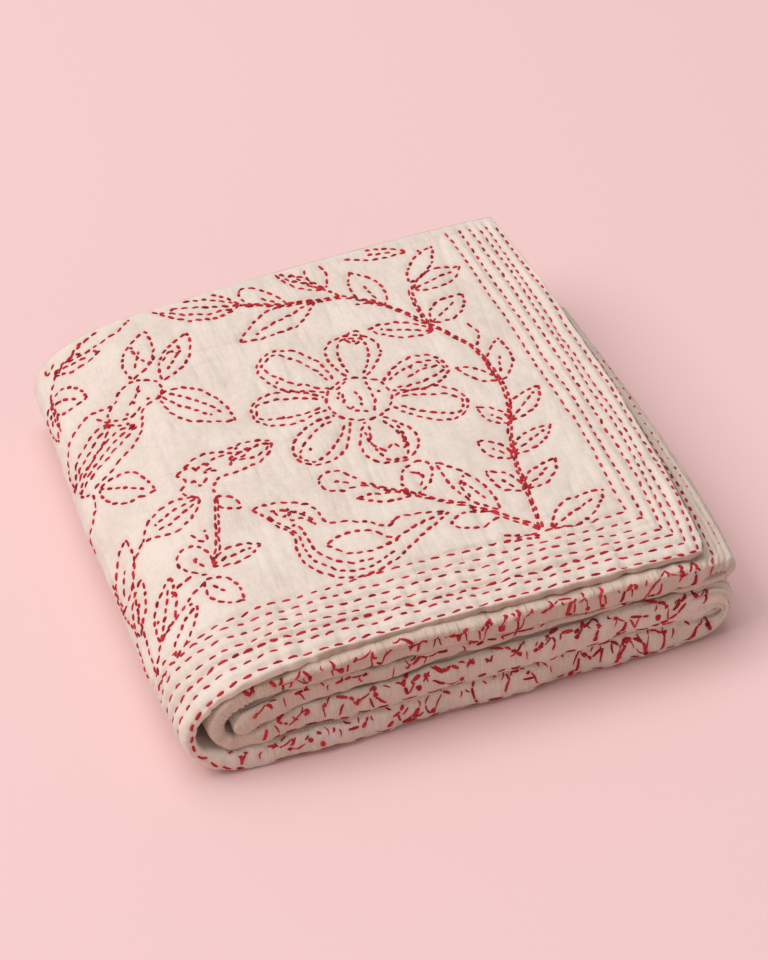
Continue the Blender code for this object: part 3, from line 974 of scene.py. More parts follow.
    @staticmethod
    def close(mesh: bpy.types.Mesh) -> None:
        """Cut the many-sided faces into triangles and turn all faces outward."""
        shell = bmesh.new()
        shell.from_mesh(mesh)
        many = [face for face in shell.faces if len(face.verts) > 4]
        bmesh.ops.triangulate(shell, faces=many, ngon_method="EAR_CLIP")
        bmesh.ops.recalc_face_normals(shell, faces=shell.faces[:])
        shell.to_mesh(mesh)
        shell.free()
        mesh.shade_smooth()


class Kind(Enum):
    """The shapes of the garden.

    Each value says whether it is a petal, and what is sewn along its middle: how
    far off it, as a share of the half width, and from which to which sample.
    """

    LEAF = (False, ((0.0, 0, 33),))
    SPRIG = (False, ((0.0, 8, 24),))
    PLAIN = (False, ())
    VEINED = (False, ((0.3, 4, 32), (-0.3, 2, 30)))
    PETAL = (True, ())
    BUD = (True, ((0.0, 8, 24),))


LEAF, SPRIG, PLAIN, VEINED, PETAL, BUD = Kind


def smooth_line(points: tuple[Place, ...], count: int = 16) -> Points:
    """Pass a smooth line through points.

    Args:
        points: The points, in millimetres on the flat cloth.
        count: Samples between two points.

    Returns:
        The line's points.
    """
    p = np.array(points, dtype=float)
    if len(p) == 2:
        t = np.linspace(0.0, 1.0, count)[:, None]
        return p[0] * (1 - t) + p[1] * t
    p = np.concatenate(([2 * p[0] - p[1]], p, [2 * p[-1] - p[-2]]))
    t = np.linspace(0.0, 1.0, count, endpoint=False)[:, None]
    parts = [0.5 * (2 * b + (c - a) * t + (2 * a - 5 * b + 4 * c - d) * t ** 2
                    + (3 * b - a - 3 * c + d) * t ** 3)
             for a, b, c, d in zip(p, p[1:], p[2:], p[3:])]
    return np.concatenate(parts + [p[-2][None]])


def set_off(line: Points, distance: float | Points) -> Points:
    """Return a line set off to its left by a distance."""
    along = np.gradient(line, axis=0)
    along /= np.linalg.norm(along, axis=1)[:, None] + 1e-9
    side = np.stack([-along[:, 1], along[:, 0]], 1)
    return line + side * np.reshape(distance, (-1, 1))


@dataclass(frozen=True)
class Frond:
    """A leaf, petal or feather: two outlines about a spine, and perhaps a rib."""

    SAMPLES: ClassVar[int] = 40
    LEAF_POWERS: ClassVar[Place] = (0.92, 0.85)
    WIDEST: ClassVar[float] = 0.58      # share of a petal's spine where it is widest
    TIP: ClassVar[float] = 0.42         # and the share beyond it
    SWELL: ClassVar[Place] = (0.34, 0.66)

    spine: tuple[Place, ...]
    width: float
    kind: Kind = LEAF
    inner: float = 0.0                  # half width of a second outline inside the first
    knot: bool = True

    def half_width(self, t: Points) -> Points:
        """Return the half width at shares t of the spine."""
        if not self.kind.value[0]:
            early, full = self.LEAF_POWERS
            return self.width / 2 * np.sin(math.pi * t ** early) ** full
        base, more = self.SWELL
        rising = base + more * np.sin(unit(t / self.WIDEST) * math.pi / 2)
        falling = np.sqrt(unit(1.0 - ((t - self.WIDEST) / self.TIP) ** 2))
        return self.width / 2 * np.where(t < self.WIDEST, rising, falling)

    def lines(self) -> list[Points]:
        """Return the sewn lines of the shape, in millimetres on the flat cloth."""
        line = smooth_line(self.spine)
        t, share = np.linspace(0.0, 1.0, self.SAMPLES), np.linspace(0.0, 1.0, len(line))
        line = np.stack([np.interp(t, share, line[:, i]) for i in (0, 1)], 1)
        half, (petal, ribs) = self.half_width(t), self.kind.value
        sides = [set_off(line, half), set_off(line, -half)]
        if petal:
            sides = [self.loop(*sides)]
        if self.inner:
            sides.append(self.loop(*(set_off(line, way * half * self.inner)[3:-3]
                                     for way in (1, -1))))
        for off, first, last in ribs:
            sides.append((set_off(line, half * off) if off else line)[first:last])
        return sides

    @staticmethod
    def loop(left: Points, right: Points) -> Points:
        """Join two outlines into one line round the tip."""
        return np.concatenate((left, right[::-1]))


@dataclass(frozen=True)
class Sewing:
    """How a line is sewn: sizes of its running stitch, in metres."""

    stitch: float
    gap: float
    width: float
    vary: float = 0.20
    turn: float = 0.10
    wander: float = 0.00022


BORDER_SEWING = Sewing(0.0055, 0.0041, 0.00185, turn=0.09)
RIM_SEWING = Sewing(0.0062, 0.0036, 0.00200, turn=0.12)
CREASE_SEWING = Sewing(0.0064, 0.0028, 0.00180, turn=0.10)
SIDE_SEWING = Sewing(0.0047, 0.0035, 0.00175, turn=0.09)
MOTIF_SEWING = Sewing(0.0046, 0.0021, 0.00205, vary=0.25, turn=0.14)
STEM_SEWING = Sewing(0.0054, 0.0019, 0.00190, turn=0.08)
KNOT_SEWING = Sewing(0.0038, 0.0010, 0.00345, vary=0.20, turn=0.40, wander=0.00060)
FRONT_SEWING = Sewing(0.0072, 0.0004, 0.00235, vary=0.35, turn=0.12)
THIN_SEWING = Sewing(0.0090, 0.0006, 0.00125, vary=0.35, turn=0.10)
EDGE_SEWING = Sewing(0.0080, 0.0062, 0.00120, vary=0.45, turn=0.06)
TICK_SEWING = Sewing(0.0034, 0.0068, 0.00130, vary=0.35, turn=0.20)


@dataclass(frozen=True)
class Stitch:
    """One stitch from its start over its middle to its end, in cloth coordinates."""

    start: Points
    middle: Points
    end: Points
    width: float
    tone: float


@dataclass
class StitchBook:
    """Gathers the stitches of one piece."""

    surface: ClothSurface
    seed: int
    shortest: float = 0.35              # share of a stitch that is still sewn
    knot_reach: float = 0.6
    stitches: list[Stitch] = field(default_factory=list)

    def __post_init__(self) -> None:
        """Seed the small differences between stitches."""
        self.rng = np.random.default_rng(self.seed)

    def add(self, start: Points, middle: Points, end: Points, width: float) -> None:
        """Note one stitch."""
        self.stitches.append(Stitch(start, middle, end, width, float(self.rng.uniform())))

    def column(self, name: str) -> Points:
        """Return one value of all stitches by its name."""
        return np.array([getattr(stitch, name) for stitch in self.stitches])

    def sew(self, line: Points, sewing: Sewing) -> None:
        """Sew a running stitch along a line.

        Args:
            line: Points of the line in cloth coordinates.
            sewing: How it is sewn.
        """
        steps = np.hypot(*np.diff(line, axis=0).T)
        length = np.concatenate(([0.0], np.cumsum(steps)))
        rng = self.rng
        place = rng.uniform(0.0, 0.5) * sewing.gap
        while place < length[-1] - sewing.stitch * self.shortest:
            size = sewing.stitch * (1.0 + rng.uniform(-1, 1) * sewing.vary)
            end = min(place + size, length[-1])
            a, m, b = (np.array([np.interp(v, length, line[:, i]) for i in (0, 1)])
                       for v in (place, (place + end) / 2, end))
            along = b - a
            side = np.array([-along[1], along[0]])
            shift = side / (np.hypot(*side) + 1e-9) * rng.normal() * sewing.wander
            twist = side * rng.normal() * sewing.turn * 0.5
            width = sewing.width * (1.0 + rng.uniform(-1, 1) * sewing.vary * 0.8)
            self.add(a + shift - twist, m + shift, b + shift + twist, width)
            place = end + sewing.gap * (1.0 + rng.uniform(-1, 1) * sewing.vary)

    def knot(self, place: Place, size: float = 0.0017) -> None:
        """Sew a small knot at a place in millimetres on the flat cloth."""
        point = self.on_face(np.array([place], dtype=float))[0]
        angle = self.rng.uniform(0.0, math.pi)
        reach = np.array([math.cos(angle), math.sin(angle)]) * size * self.knot_reach
        self.add(point - reach, point, point + reach, size)

    def on_face(self, flat: Points) -> Points:
        """Turn millimetres on the flat cloth into cloth coordinates."""
        s = HEM_X - flat[:, 0] * MM
        return np.stack([s, self.surface.girth(s, flat[:, 1] * MM)], 1)

    def trim(self, margin: float = 0.0016) -> None:
        """Leave out the stitches that would lie past the cloth's back edge.

        Args:
            margin: How far inside the back edge a stitch ends.
        """
        kept = np.ones(len(self.stitches), dtype=bool)
        for name in ("start", "end"):
            s, w = self.column(name).T
            rows = self.surface.path.at(s)
            depth = rows.face + np.where(w > 0.0, w, -w - rows.arc)
            kept &= depth < rows.back - self.surface.ply_chamfer - margin
        self.stitches = [self.stitches[i] for i in np.flatnonzero(kept)]

    def along(self) -> Points:
        """Return points along all stitches, for the cloth's dimples."""
        a, m, b = (self.column(name) for name in ("start", "middle", "end"))
        return np.concatenate([a * 0.8 + m * 0.2, m, b * 0.8 + m * 0.2])


@dataclass
class Needlework:
    """Embroidery that is sewn into one book."""

    book: StitchBook

    def ruled(self, s: Points, w: Points, sewing: Sewing) -> None:
        """Sew along points of the cloth, given by their lengths and girths."""
        self.book.sew(np.stack([s, w], 1), sewing)


@dataclass
class BorderEmbroidery(Needlework):
    """The ruled lines of the border, mitred at the front right corner."""

    border: Border
    fold_margin: float = 0.004
    half_corner: float = 0.040
    back: float = 0.3655

    def sew(self) -> None:
        """Sew the front lines round the left fold and the side lines to the back."""
        border, surface = self.border, self.book.surface
        fold_end = surface.path.starts[BASE] - self.fold_margin
        special = {0: RIM_SEWING, border.deep_line: CREASE_SEWING}
        for number, corner in enumerate(border.corners):
            mitred, front_end = corner == int(corner), border.front[number][-1] / TENTHS
            first = (float(border.side_line(int(corner), np.array(front_end))) if mitred
                     else self.half_corner)
            s = np.linspace(first, fold_end, 400)
            y = border.front_line(number, s)
            self.ruled(s, surface.girth(s, y), special.get(number, BORDER_SEWING))
            if mitred:
                y = np.linspace(front_end + MM, self.back, 300)
                s = border.side_line(int(corner), y)
                self.ruled(s, surface.girth(s, y), SIDE_SEWING)


class GardenEmbroidery(Needlework):
    """The flower, vine, sprays and birds of the field."""

    HALF_STEM = 0.95
    INNER = 0.56
    EYE = 0.0022
    FLOWER = (197.0, 213.0)
    RING = 22.0
    PETALS = ((75.8, 69.0, 38.0), (14.2, 69.5, 32.0), (-24.4, 73.0, 34.0), (-85.0, 68.5, 38.0),
              (-139.0, 73.0, 34.0), (171.4, 74.0, 35.0), (128.3, 80.0, 39.0))
    STEMS = (
        ((265, 53), (269, 90), (272, 119), (280, 150), (288, 172), (292, 193), (292, 206),
         (290, 228), (284, 246), (271, 267), (260, 286), (246, 304), (234, 314), (222, 322)),
        ((268, 272), (268, 297), (271, 316)),
        ((265, 53), (248, 71), (226, 91), (205, 107), (183, 125), (170, 133)),
        ((222, 322), (202, 323), (182, 326), (161, 332), (151, 336)),
        ((78, 155), (72, 134), (66, 113), (58, 98)),
    )
    LINES = (
        ((222, 322), (213, 334), (203, 346), (192, 363)),
        ((49, 88), (33, 79), (14, 68), (4, 60), (-1, 53), (-4, 45)),
        ((24, 147), (12, 135), (2, 106), (-1, 87), (-5, 51)),
        ((50, 351), (40, 349), (22, 341), (6, 332), (-3, 320)),
        ((-6, 226), (5, 212), (-3, 197), (-16, 194), (-18, 180)),
        ((-12, 145), (-14, 121), (-8, 95), (-15, 81), (-16, 60)),
        ((293, 263), (297, 251), (290, 238)),
        ((53, 132), (56, 125), (61, 120), (62, 130)),
        ((188, 222), (186, 212), (190, 203), (199, 199)),
        ((206, 228), (207, 213), (204, 200)),
        ((196, 205), (198, 213), (196, 221)),
        ((248, 303), (240, 308), (228, 309)),
        ((4, 44), (-8, 42), (-18, 45)),
        ((0, 319), (-3, 306), (-2, 290)),
        ((240, 55), (252, 52), (262, 47)),
        ((238, 50), (250, 47), (261, 45)),
    )
    LEAVES = tuple(Frond((base, tip), *more) for base, tip, *more in (
        ((272, 51), (315, 75), 21, LEAF), ((269, 91), (297, 112), 15, LEAF),
        ((266, 89), (251, 116), 13, SPRIG), ((273, 126), (306, 145), 15, LEAF),
        ((271, 122), (256, 145), 13, SPRIG), ((284, 159), (313, 184), 16, LEAF),
        ((283, 156), (268, 179), 12, SPRIG), ((293, 200), (307, 241), 17, SPRIG),
        ((292, 201), (269, 221), 10, PLAIN), ((271, 272), (302, 294), 21, LEAF),
        ((273, 312), (312, 324), 19, LEAF), ((273, 320), (303, 354), 14, PLAIN),
        ((269, 264), (228, 281), 17, LEAF), ((247, 302), (237, 346), 22, SPRIG),
        ((213, 336), (214, 364), 15, PETAL), ((213, 334), (186, 359), 12, LEAF),
        ((181, 326), (155, 350), 17, BUD), ((202, 323), (140, 298), 25, LEAF),
        ((151, 336), (91, 352), 30, LEAF, 0.55), ((284, 355), (232, 365), 11, SPRIG),
        ((59, 292), (80, 333), 21, SPRIG), ((78, 281), (107, 319), 19, SPRIG),
        ((72, 269), (112, 223), 29, VEINED), ((11, 214), (44, 183), 24, LEAF),
        ((10, 338), (46, 332), 14, LEAF), ((-3, 320), (26, 297), 20, LEAF),
        ((22, 341), (73, 350), 13, PLAIN), ((3, 346), (16, 353), 8, PLAIN),
        ((-4, 319), (-8, 288), 14, SPRIG), ((68, 159), (24, 147), 25, VEINED),
        ((77, 155), (90, 141), 12, PLAIN), ((58, 99), (91, 103), 15, LEAF),
        ((56, 95), (43, 122), 19, BUD), ((50, 90), (67, 60), 18, SPRIG),
        ((9, 64), (30, 106), 16, LEAF), ((13, 46), (39, 72), 10, PLAIN),
        ((-10, 114), (14, 156), 20, SPRIG), ((-6, 86), (12, 120), 13, SPRIG),
        ((169, 134), (146, 147), 20, BUD), ((199, 112), (214, 140), 20, PETAL),
        ((246, 79), (223, 134), 17, SPRIG), ((198, 111), (164, 121), 9, PLAIN),
        ((244, 74), (213, 77), 15, PETAL),
    ))
    BIRDS = (
        Frond(((132, 88), (152, 82), (175, 75)), 20.0, PLAIN),
        Frond(((96, 186), (112, 187), (127, 191)), 9.0, PLAIN),
        Frond(((34, 262), (14, 250), (-8, 236)), 15.0, knot=False),
        Frond(((50, 250), (24, 240), (-4, 226)), 13.0, knot=False),
    )
    BODIES = (
        ((96, 136), (109, 136), (124, 132), (135, 122), (138, 107), (150, 104), (162, 97),
         (173, 88)),
        ((96, 136), (106, 118), (114, 103), (112, 88), (114, 73), (126, 59), (138, 52), (156, 53),
         (170, 59), (190, 72), (215, 88)),
        ((104, 126), (116, 105), (117, 88), (120, 75), (130, 64), (141, 58), (156, 59), (170, 66)),
        ((120, 112), (122, 96), (124, 82), (133, 71), (144, 65), (158, 65)),
        ((173, 88), (184, 95), (202, 92), (215, 88)),
        ((106, 130), (118, 126), (128, 118), (131, 108)),
        ((60, 188), (76, 196), (85, 198), (96, 196), (113, 198), (130, 193)),
        ((60, 188), (64, 179), (59, 170), (68, 159)),
        ((129, 192), (117, 178), (100, 173), (87, 173), (80, 166), (77, 156)),
        ((76, 273), (73, 283), (59, 290), (47, 285), (41, 277), (21, 279), (6, 274), (-6, 264),
         (-10, 248), (-10, 233)),
        ((76, 273), (70, 265), (59, 261), (56, 253), (51, 241), (40, 229), (22, 220), (4, 218)),
        ((40, 277), (34, 268), (36, 258), (46, 252)),
    )
    TANGLES = (
        ((108, 129), (113, 122), (119, 128), (117, 118), (125, 117), (131, 107)),
        ((166, 73), (181, 79), (197, 85), (211, 88)),
        ((84, 191), (96, 193), (108, 190), (121, 194)),
        ((73, 185), (79, 189), (83, 184), (77, 181), (86, 180)),
        ((95, 180), (99, 185), (106, 185), (112, 191)),
        ((66, 320), (69, 309), (75, 300), (80, 308)),
        ((83, 299), (90, 306), (96, 303), (98, 311)),
        ((62, 284), (56, 274), (48, 268)),
        ((58, 264), (50, 258), (36, 262), (26, 272)),
        ((178, 231), (186, 228), (194, 233)),
        ((234, 222), (244, 227), (252, 228), (259, 229)),
        ((189, 180), (190, 168), (196, 158), (203, 163), (209, 157), (213, 168), (212, 180)),
        ((208, 276), (214, 270), (221, 277), (215, 283), (208, 276)),
        ((26, 90), (34, 96), (44, 97)),
        ((206, 118), (211, 127), (204, 134)),
        ((233, 96), (230, 108), (235, 117)),
    )
    KNOTS = (
        (127, 121), (130, 114), (117, 112), (178, 92), (188, 82), (99, 188), (104, 195),
        (68, 176), (67, 322), (75, 301), (92, 306), (97, 304), (60, 281), (54, 270), (47, 262),
        (64, 268), (186, 223), (187, 215), (190, 206), (184, 219), (203, 199), (212, 216),
        (190, 172), (196, 158), (211, 163), (150, 176), (240, 232), (251, 231), (214, 273),
        (150, 248), (143, 212), (197, 128), (209, 130), (156, 141), (233, 108), (28, 94),
        (36, 76), (50, 110), (12, 80), (292, 352), (104, 347), (160, 306),
    )
    EYES = ((122, 124), (82, 188), (60, 278))
    BEAKS = (((60, 188), (70, 190), (74, 184)), ((69, 178), (72, 170), (80, 176)))

    def line(self, points: Points, sewing: Sewing = MOTIF_SEWING) -> None:
        """Sew one line given in millimetres on the flat cloth."""
        self.book.sew(self.book.on_face(points), sewing)

    def flower(self) -> None:
        """Sew the seven double petals and the ring they stand on."""
        centre = np.array(self.FLOWER)
        turn = np.linspace(0.0, 2 * math.pi, 60)
        self.line(centre + self.RING * np.stack([np.cos(turn), np.sin(turn)], 1))
        for degrees, reach, width in self.PETALS:
            way = np.array([math.cos(math.radians(degrees)), math.sin(math.radians(degrees))])
            spine = (tuple(centre + way * (self.RING + 1.0)), tuple(centre + way * reach))
            for sewn in Frond(spine, width, PETAL, inner=self.INNER).lines():
                self.line(sewn)

    def sew(self) -> None:
        """Sew all of the field's motifs."""
        self.flower()
        for points in self.STEMS:
            stem = smooth_line(points)
            for side in (-self.HALF_STEM, self.HALF_STEM):
                self.line(set_off(stem, side), STEM_SEWING)
        for points in self.LINES + self.BODIES + self.BEAKS + self.TANGLES:
            self.line(smooth_line(points))
        for frond in self.LEAVES + self.BIRDS:
            for sewn in frond.lines():
                self.line(sewn)
            if frond.knot:
                self.book.knot(frond.spine[-1])
        for point in self.EYES + self.KNOTS:
            self.book.knot(point, self.EYE)


class Shape(Enum):
    """The small shapes sewn on the front folds."""

    DOT = "dot"
    LINE = "line"
    BOW = "bow"
    HOOK = "hook"
    FORK = "fork"
    VEE = "vee"
    ZIGZAG = "zigzag"


DOT, LINE, BOW, HOOK, FORK, VEE, ZIGZAG = Shape


@dataclass(frozen=True)
class Mark:
    """A shape, where it starts and how far it goes on across and down.

    Across is in millimetres, down in hundredths of the fold below its top.
    """

    shape: Shape
    across: int
    down: int
    reach: int = 0
    rise: int = 0

    @property
    def start(self) -> Place:
        """Where it starts, in millimetres and shares."""
        return self.across, self.down / 100

    @property
    def end(self) -> Place:
        """Where it ends, in millimetres and shares."""
        return self.across + self.reach, self.down / 100 + self.rise / 100


@dataclass
class FrontEmbroidery(Needlework):
    """The parts of motifs that show on the stacked front folds, and their hem dashes."""

    reach: float = 16.0                 # how far apart marks are joined, and how often
    joined: float = 0.60
    sag: float = 0.05
    spacing: float = 8.5                # of the thin threads between them
    first: float = 52.0
    last: float = 350.0
    hems: tuple[Place, ...] = ((LOWER, 0.71), (BASE, 0.72))
    MARKS = {leg: tuple(Mark(*row) for row in rows) for leg, rows in {
        UPPER: (
            (VEE, 45, 8, 7, 34), (VEE, 63, 8, 8, 38), (LINE, 84, 12, 4, 40), (DOT, 78, 40),
            (DOT, 95, 12), (LINE, 103, 4, 1, 30), (DOT, 109, 50), (DOT, 119, 20),
            (HOOK, 130, 14, 6, 44), (DOT, 144, 10), (BOW, 150, 4, 5, 46), (FORK, 165, 26, 6, 36),
            (DOT, 173, 14), (LINE, 181, 36, 7, 16), (DOT, 191, 24), (LINE, 194, 62, 8, 6),
            (FORK, 208, 10, 6, 34), (DOT, 217, 48), (LINE, 219, 4, 0, 16), (DOT, 205, 62),
            (LINE, 227, 3, 0, 20), (DOT, 227, 30), (LINE, 227, 44, -1, 26), (DOT, 236, 22),
            (BOW, 250, 2, -6, 44), (BOW, 256, 8, 10, 14), (DOT, 267, 24), (LINE, 263, 34, -2, 30),
            (DOT, 264, 64), (LINE, 285, 0, 0, 22), (DOT, 284, 30), (DOT, 286, 60),
            (LINE, 272, 2, 1, 18), (DOT, 276, 52), (FORK, 307, 16, 8, 46), (LINE, 330, 0, 2, 28),
            (DOT, 335, 28), (LINE, 327, 46, -8, 24), (LINE, 341, 0, 0, 16),
            (HOOK, 343, 26, -3, 26), (LINE, 351, 0, 0, 30), (LINE, 351, 46, -2, 22),
        ),
        CORE: (
            (DOT, 49, 40), (LINE, 59, 20, 1, 34), (LINE, 78, 36, 9, -8), (LINE, 105, 40, 11, -10),
            (DOT, 126, 34), (DOT, 151, 44), (LINE, 156, 46, 7, -20), (DOT, 168, 46),
            (BOW, 174, 34, 9, 20), (DOT, 194, 40), (LINE, 200, 46, 8, -10), (DOT, 217, 36),
            (DOT, 227, 30), (DOT, 240, 30), (DOT, 265, 36), (LINE, 284, 30, 8, -8),
        ),
        LOWER: (
            (LINE, 57, 38, -5, 18), (HOOK, 66, 14, 5, 34), (LINE, 86, 22, -2, 22), (DOT, 98, 28),
            (LINE, 106, 12, 10, 26), (DOT, 118, 46), (LINE, 131, 8, -1, 18), (DOT, 131, 36),
            (LINE, 130, 46, 8, 8), (HOOK, 155, 2, -3, 52), (VEE, 157, 34, 11, -17),
            (DOT, 161, 46), (ZIGZAG, 172, 8, 16, 34), (LINE, 169, 46, 9, 10), (DOT, 189, 56),
            (FORK, 197, 26, 5, 20), (LINE, 210, 3, 13, 18), (DOT, 225, 26),
            (LINE, 206, 28, 0, 20), (DOT, 231, 12), (LINE, 222, 42, 0, 8), (LINE, 228, 36, 1, 10),
            (HOOK, 257, 2, -9, 18), (DOT, 247, 18), (LINE, 244, 24, -6, 20),
            (BOW, 251, 20, 0, 30), (LINE, 258, 16, 9, 12), (LINE, 275, 2, -8, 30), (DOT, 274, 10),
            (DOT, 267, 42), (BOW, 281, 5, 1, 48), (DOT, 281, 54), (DOT, 297, 28),
            (LINE, 304, 46, -6, 22), (BOW, 318, 4, 13, 28), (DOT, 331, 34),
            (LINE, 306, 36, 13, 10), (DOT, 324, 50), (LINE, 345, 8, -9, 38), (DOT, 341, 26),
            (LINE, 346, 40, -24, 22), (ZIGZAG, 350, 2, 3, 32), (LINE, 359, 16, 1, 36),
        ),
        BASE: (
            (DOT, 29, 16), (LINE, 36, 34, 2, 22), (DOT, 41, 26), (LINE, 57, 20, 8, 24),
            (LINE, 74, 18, -1, 26), (DOT, 72, 48), (DOT, 86, 40), (DOT, 93, 24),
            (LINE, 102, 20, -1, 24), (DOT, 95, 50), (LINE, 112, 40, 8, 6),
            (LINE, 126, 22, -4, 26), (LINE, 150, 24, -11, 34), (LINE, 161, 44, -11, 18),
            (DOT, 165, 46), (DOT, 172, 54), (LINE, 178, 26, 6, 12), (HOOK, 200, 16, 2, 48),
            (BOW, 222, 20, -2, 36), (LINE, 226, 18, 7, 5), (DOT, 237, 34), (BOW, 233, 44, 10, 10),
            (LINE, 242, 10, 3, 20), (LINE, 273, 42, -6, 34), (LINE, 274, 16, 1, 18),
            (VEE, 276, 34, 14, 16), (LINE, 287, 16, 8, 6), (LINE, 295, 22, 6, 22),
            (LINE, 308, 20, -9, 40), (LINE, 305, 22, 17, 42), (DOT, 307, 26), (DOT, 301, 52),
            (DOT, 322, 66), (LINE, 322, 10, 5, 12), (DOT, 334, 36), (BOW, 335, 44, -6, 22),
            (BOW, 359, 34, -8, 34), (LINE, 364, 20, 4, 36), (LINE, 369, 48, -3, 2),
        ),
    }.items()}

    def trace(self, leg: int, across: Points, down: Points, sewing: Sewing = FRONT_SEWING) -> None:
        """Sew a line on a front fold.

        Args:
            leg: The fold's layer among the legs.
            across: Its points in millimetres across.
            down: Shares of the fold below its top.
            sewing: How it is sewn.
        """
        path, layer = self.book.surface.path, LEGS[leg]
        way = math.copysign(1.0, layer.end - layer.start)
        lengths = path.starts[leg] + (across * MM - layer.start) * way
        share = down if leg in (LOWER, CORE) else 1.0 - down
        self.ruled(lengths, -share * path.at(lengths).arc, sewing)

    def sew_mark(self, leg: int, mark: Mark) -> None:
        """Sew one mark on a front fold."""
        rng, t = self.book.rng, np.linspace(0.0, 1.0, 9)
        (x, high), reach, rise = mark.start, mark.reach, mark.rise / 100
        bend = np.sin(math.pi * t)
        if mark.shape is DOT:
            size = rng.uniform(0.5, 1.0)
            slant = 0.07 * (t - 0.5) * rng.uniform(0.6, 1.4)
            self.trace(leg, x + size * (t - 0.5), high + slant, KNOT_SEWING)
        elif mark.shape is FORK:
            self.sew_mark(leg, Mark(DOT, mark.across, mark.down))
            self.trace(leg, x - reach * t - bend, high + rise * t)
            self.trace(leg, x + reach * 0.2 * t + 0.6 * bend, high + rise * 0.6 * t)
        elif mark.shape is VEE:
            self.trace(leg, x + reach * 0.45 * t, high + rise * t)
            self.trace(leg, x + reach - reach * 0.55 * t, high + rise * t)
        elif mark.shape is ZIGZAG:
            corners = np.interp(t * 3.0, (0.0, 1.0, 2.0, 3.0), (0.0, 0.9, 0.3, 1.0))
            self.trace(leg, x + reach * t, high + rise * corners)
        else:
            bow = {LINE: 0.25, BOW: 0.32, HOOK: -0.32}[mark.shape]
            size = math.hypot(reach, rise * 20.0) * (abs(rise) > 0.1)
            self.trace(leg, x + reach * t + bow * size * bend, high + rise * t)

    def join(self, leg: int, mark: Mark, after: Mark) -> None:
        """Join a mark to the one after it by a thin thread, if they are near."""
        (x, high), (next_x, next_high) = mark.end, after.start
        if abs(next_x - x) < self.reach and self.book.rng.uniform() < self.joined:
            t = np.linspace(0.0, 1.0, 9)
            down = high + (next_high - high) * t + self.sag * np.sin(math.pi * t)
            self.trace(leg, x + (next_x - x) * t, down, THIN_SEWING)

    def scatter(self, leg: int) -> None:
        """Sew short thin threads between the marks of a front fold."""
        rng, t = self.book.rng, np.linspace(0.0, 1.0, 9)
        for x in np.arange(self.first, self.last, self.spacing):
            high, slant = rng.uniform(0.06, 0.42), rng.uniform(-5.0, 5.0)
            rise = rng.uniform(0.10, 0.30)
            curve = rng.uniform(-2.0, 2.0) * np.sin(math.pi * t)
            across = x + rng.uniform(-3.0, 3.0) + slant * t + curve
            self.trace(leg, across, high + rise * t, THIN_SEWING)

    def sew(self) -> None:
        """Sew the marks of the four front folds, and the dashes along their hems."""
        for leg, marks in self.MARKS.items():
            for mark, after in zip(marks, marks[1:] + marks[:1]):
                self.sew_mark(leg, mark)
                self.join(leg, mark, after)
            self.scatter(leg)
        for leg, down in self.hems:
            across = np.linspace(60.0, 345.0, 200)
            self.trace(leg, across, down + 0.015 * np.sin(across * 0.11), EDGE_SEWING)


@dataclass
class EdgeEmbroidery(Needlework):
    """Lines along the right side of the stacked layers."""

    roll_ends: Stretch = Stretch(RIGHT_ROLL, 0.004, LOWER, -0.004)
    roll_lines: int = 5
    roll_pitch: float = 0.0093
    roll_first: float = 0.0034

    def across(self, s: float, slant: float, first: float, last: float,
               sewing: Sewing = TICK_SEWING, under: bool = True) -> None:
        """Sew a line from front to back.

        Args:
            s: Length along the route at the front.
            slant: How much further along the route it lies for each metre back.
            first: Girth at which it starts, from the front fold's edge.
            last: Girth at which it ends.
            sewing: How it is sewn.
            under: Whether it lies on the under side.
        """
        girth = np.linspace(first, last, 200)
        lengths = s + slant * np.maximum(girth, 0.0) + 0.0006 * np.sin(girth * 40.0)
        if under:
            girth = -self.book.surface.path.at(lengths).arc - girth
        self.ruled(lengths, girth, sewing)

    def sew(self) -> None:
        """Sew the line beside the top hem, the ticks of the rolls and the rolls' borders."""
        starts = self.book.surface.path.starts
        end = starts[UPPER_ROLL]
        self.across(end - 0.0098, 0.038, -0.014, 0.270, SIDE_SEWING)
        self.across(end - 0.0010, 0.016, 0.010, 0.262)
        self.across(end + 0.0080, 0.010, 0.004, 0.120)
        self.across(starts[RIGHT_ROLL] + 0.030, 0.0, 0.004, 0.322, under=False)
        for number in range(1, self.roll_lines + 1):
            s = np.linspace(*self.roll_ends.ends(starts), 80)
            girth = np.full_like(s, number * self.roll_pitch - self.roll_first)
            self.ruled(s, girth, BORDER_SEWING)


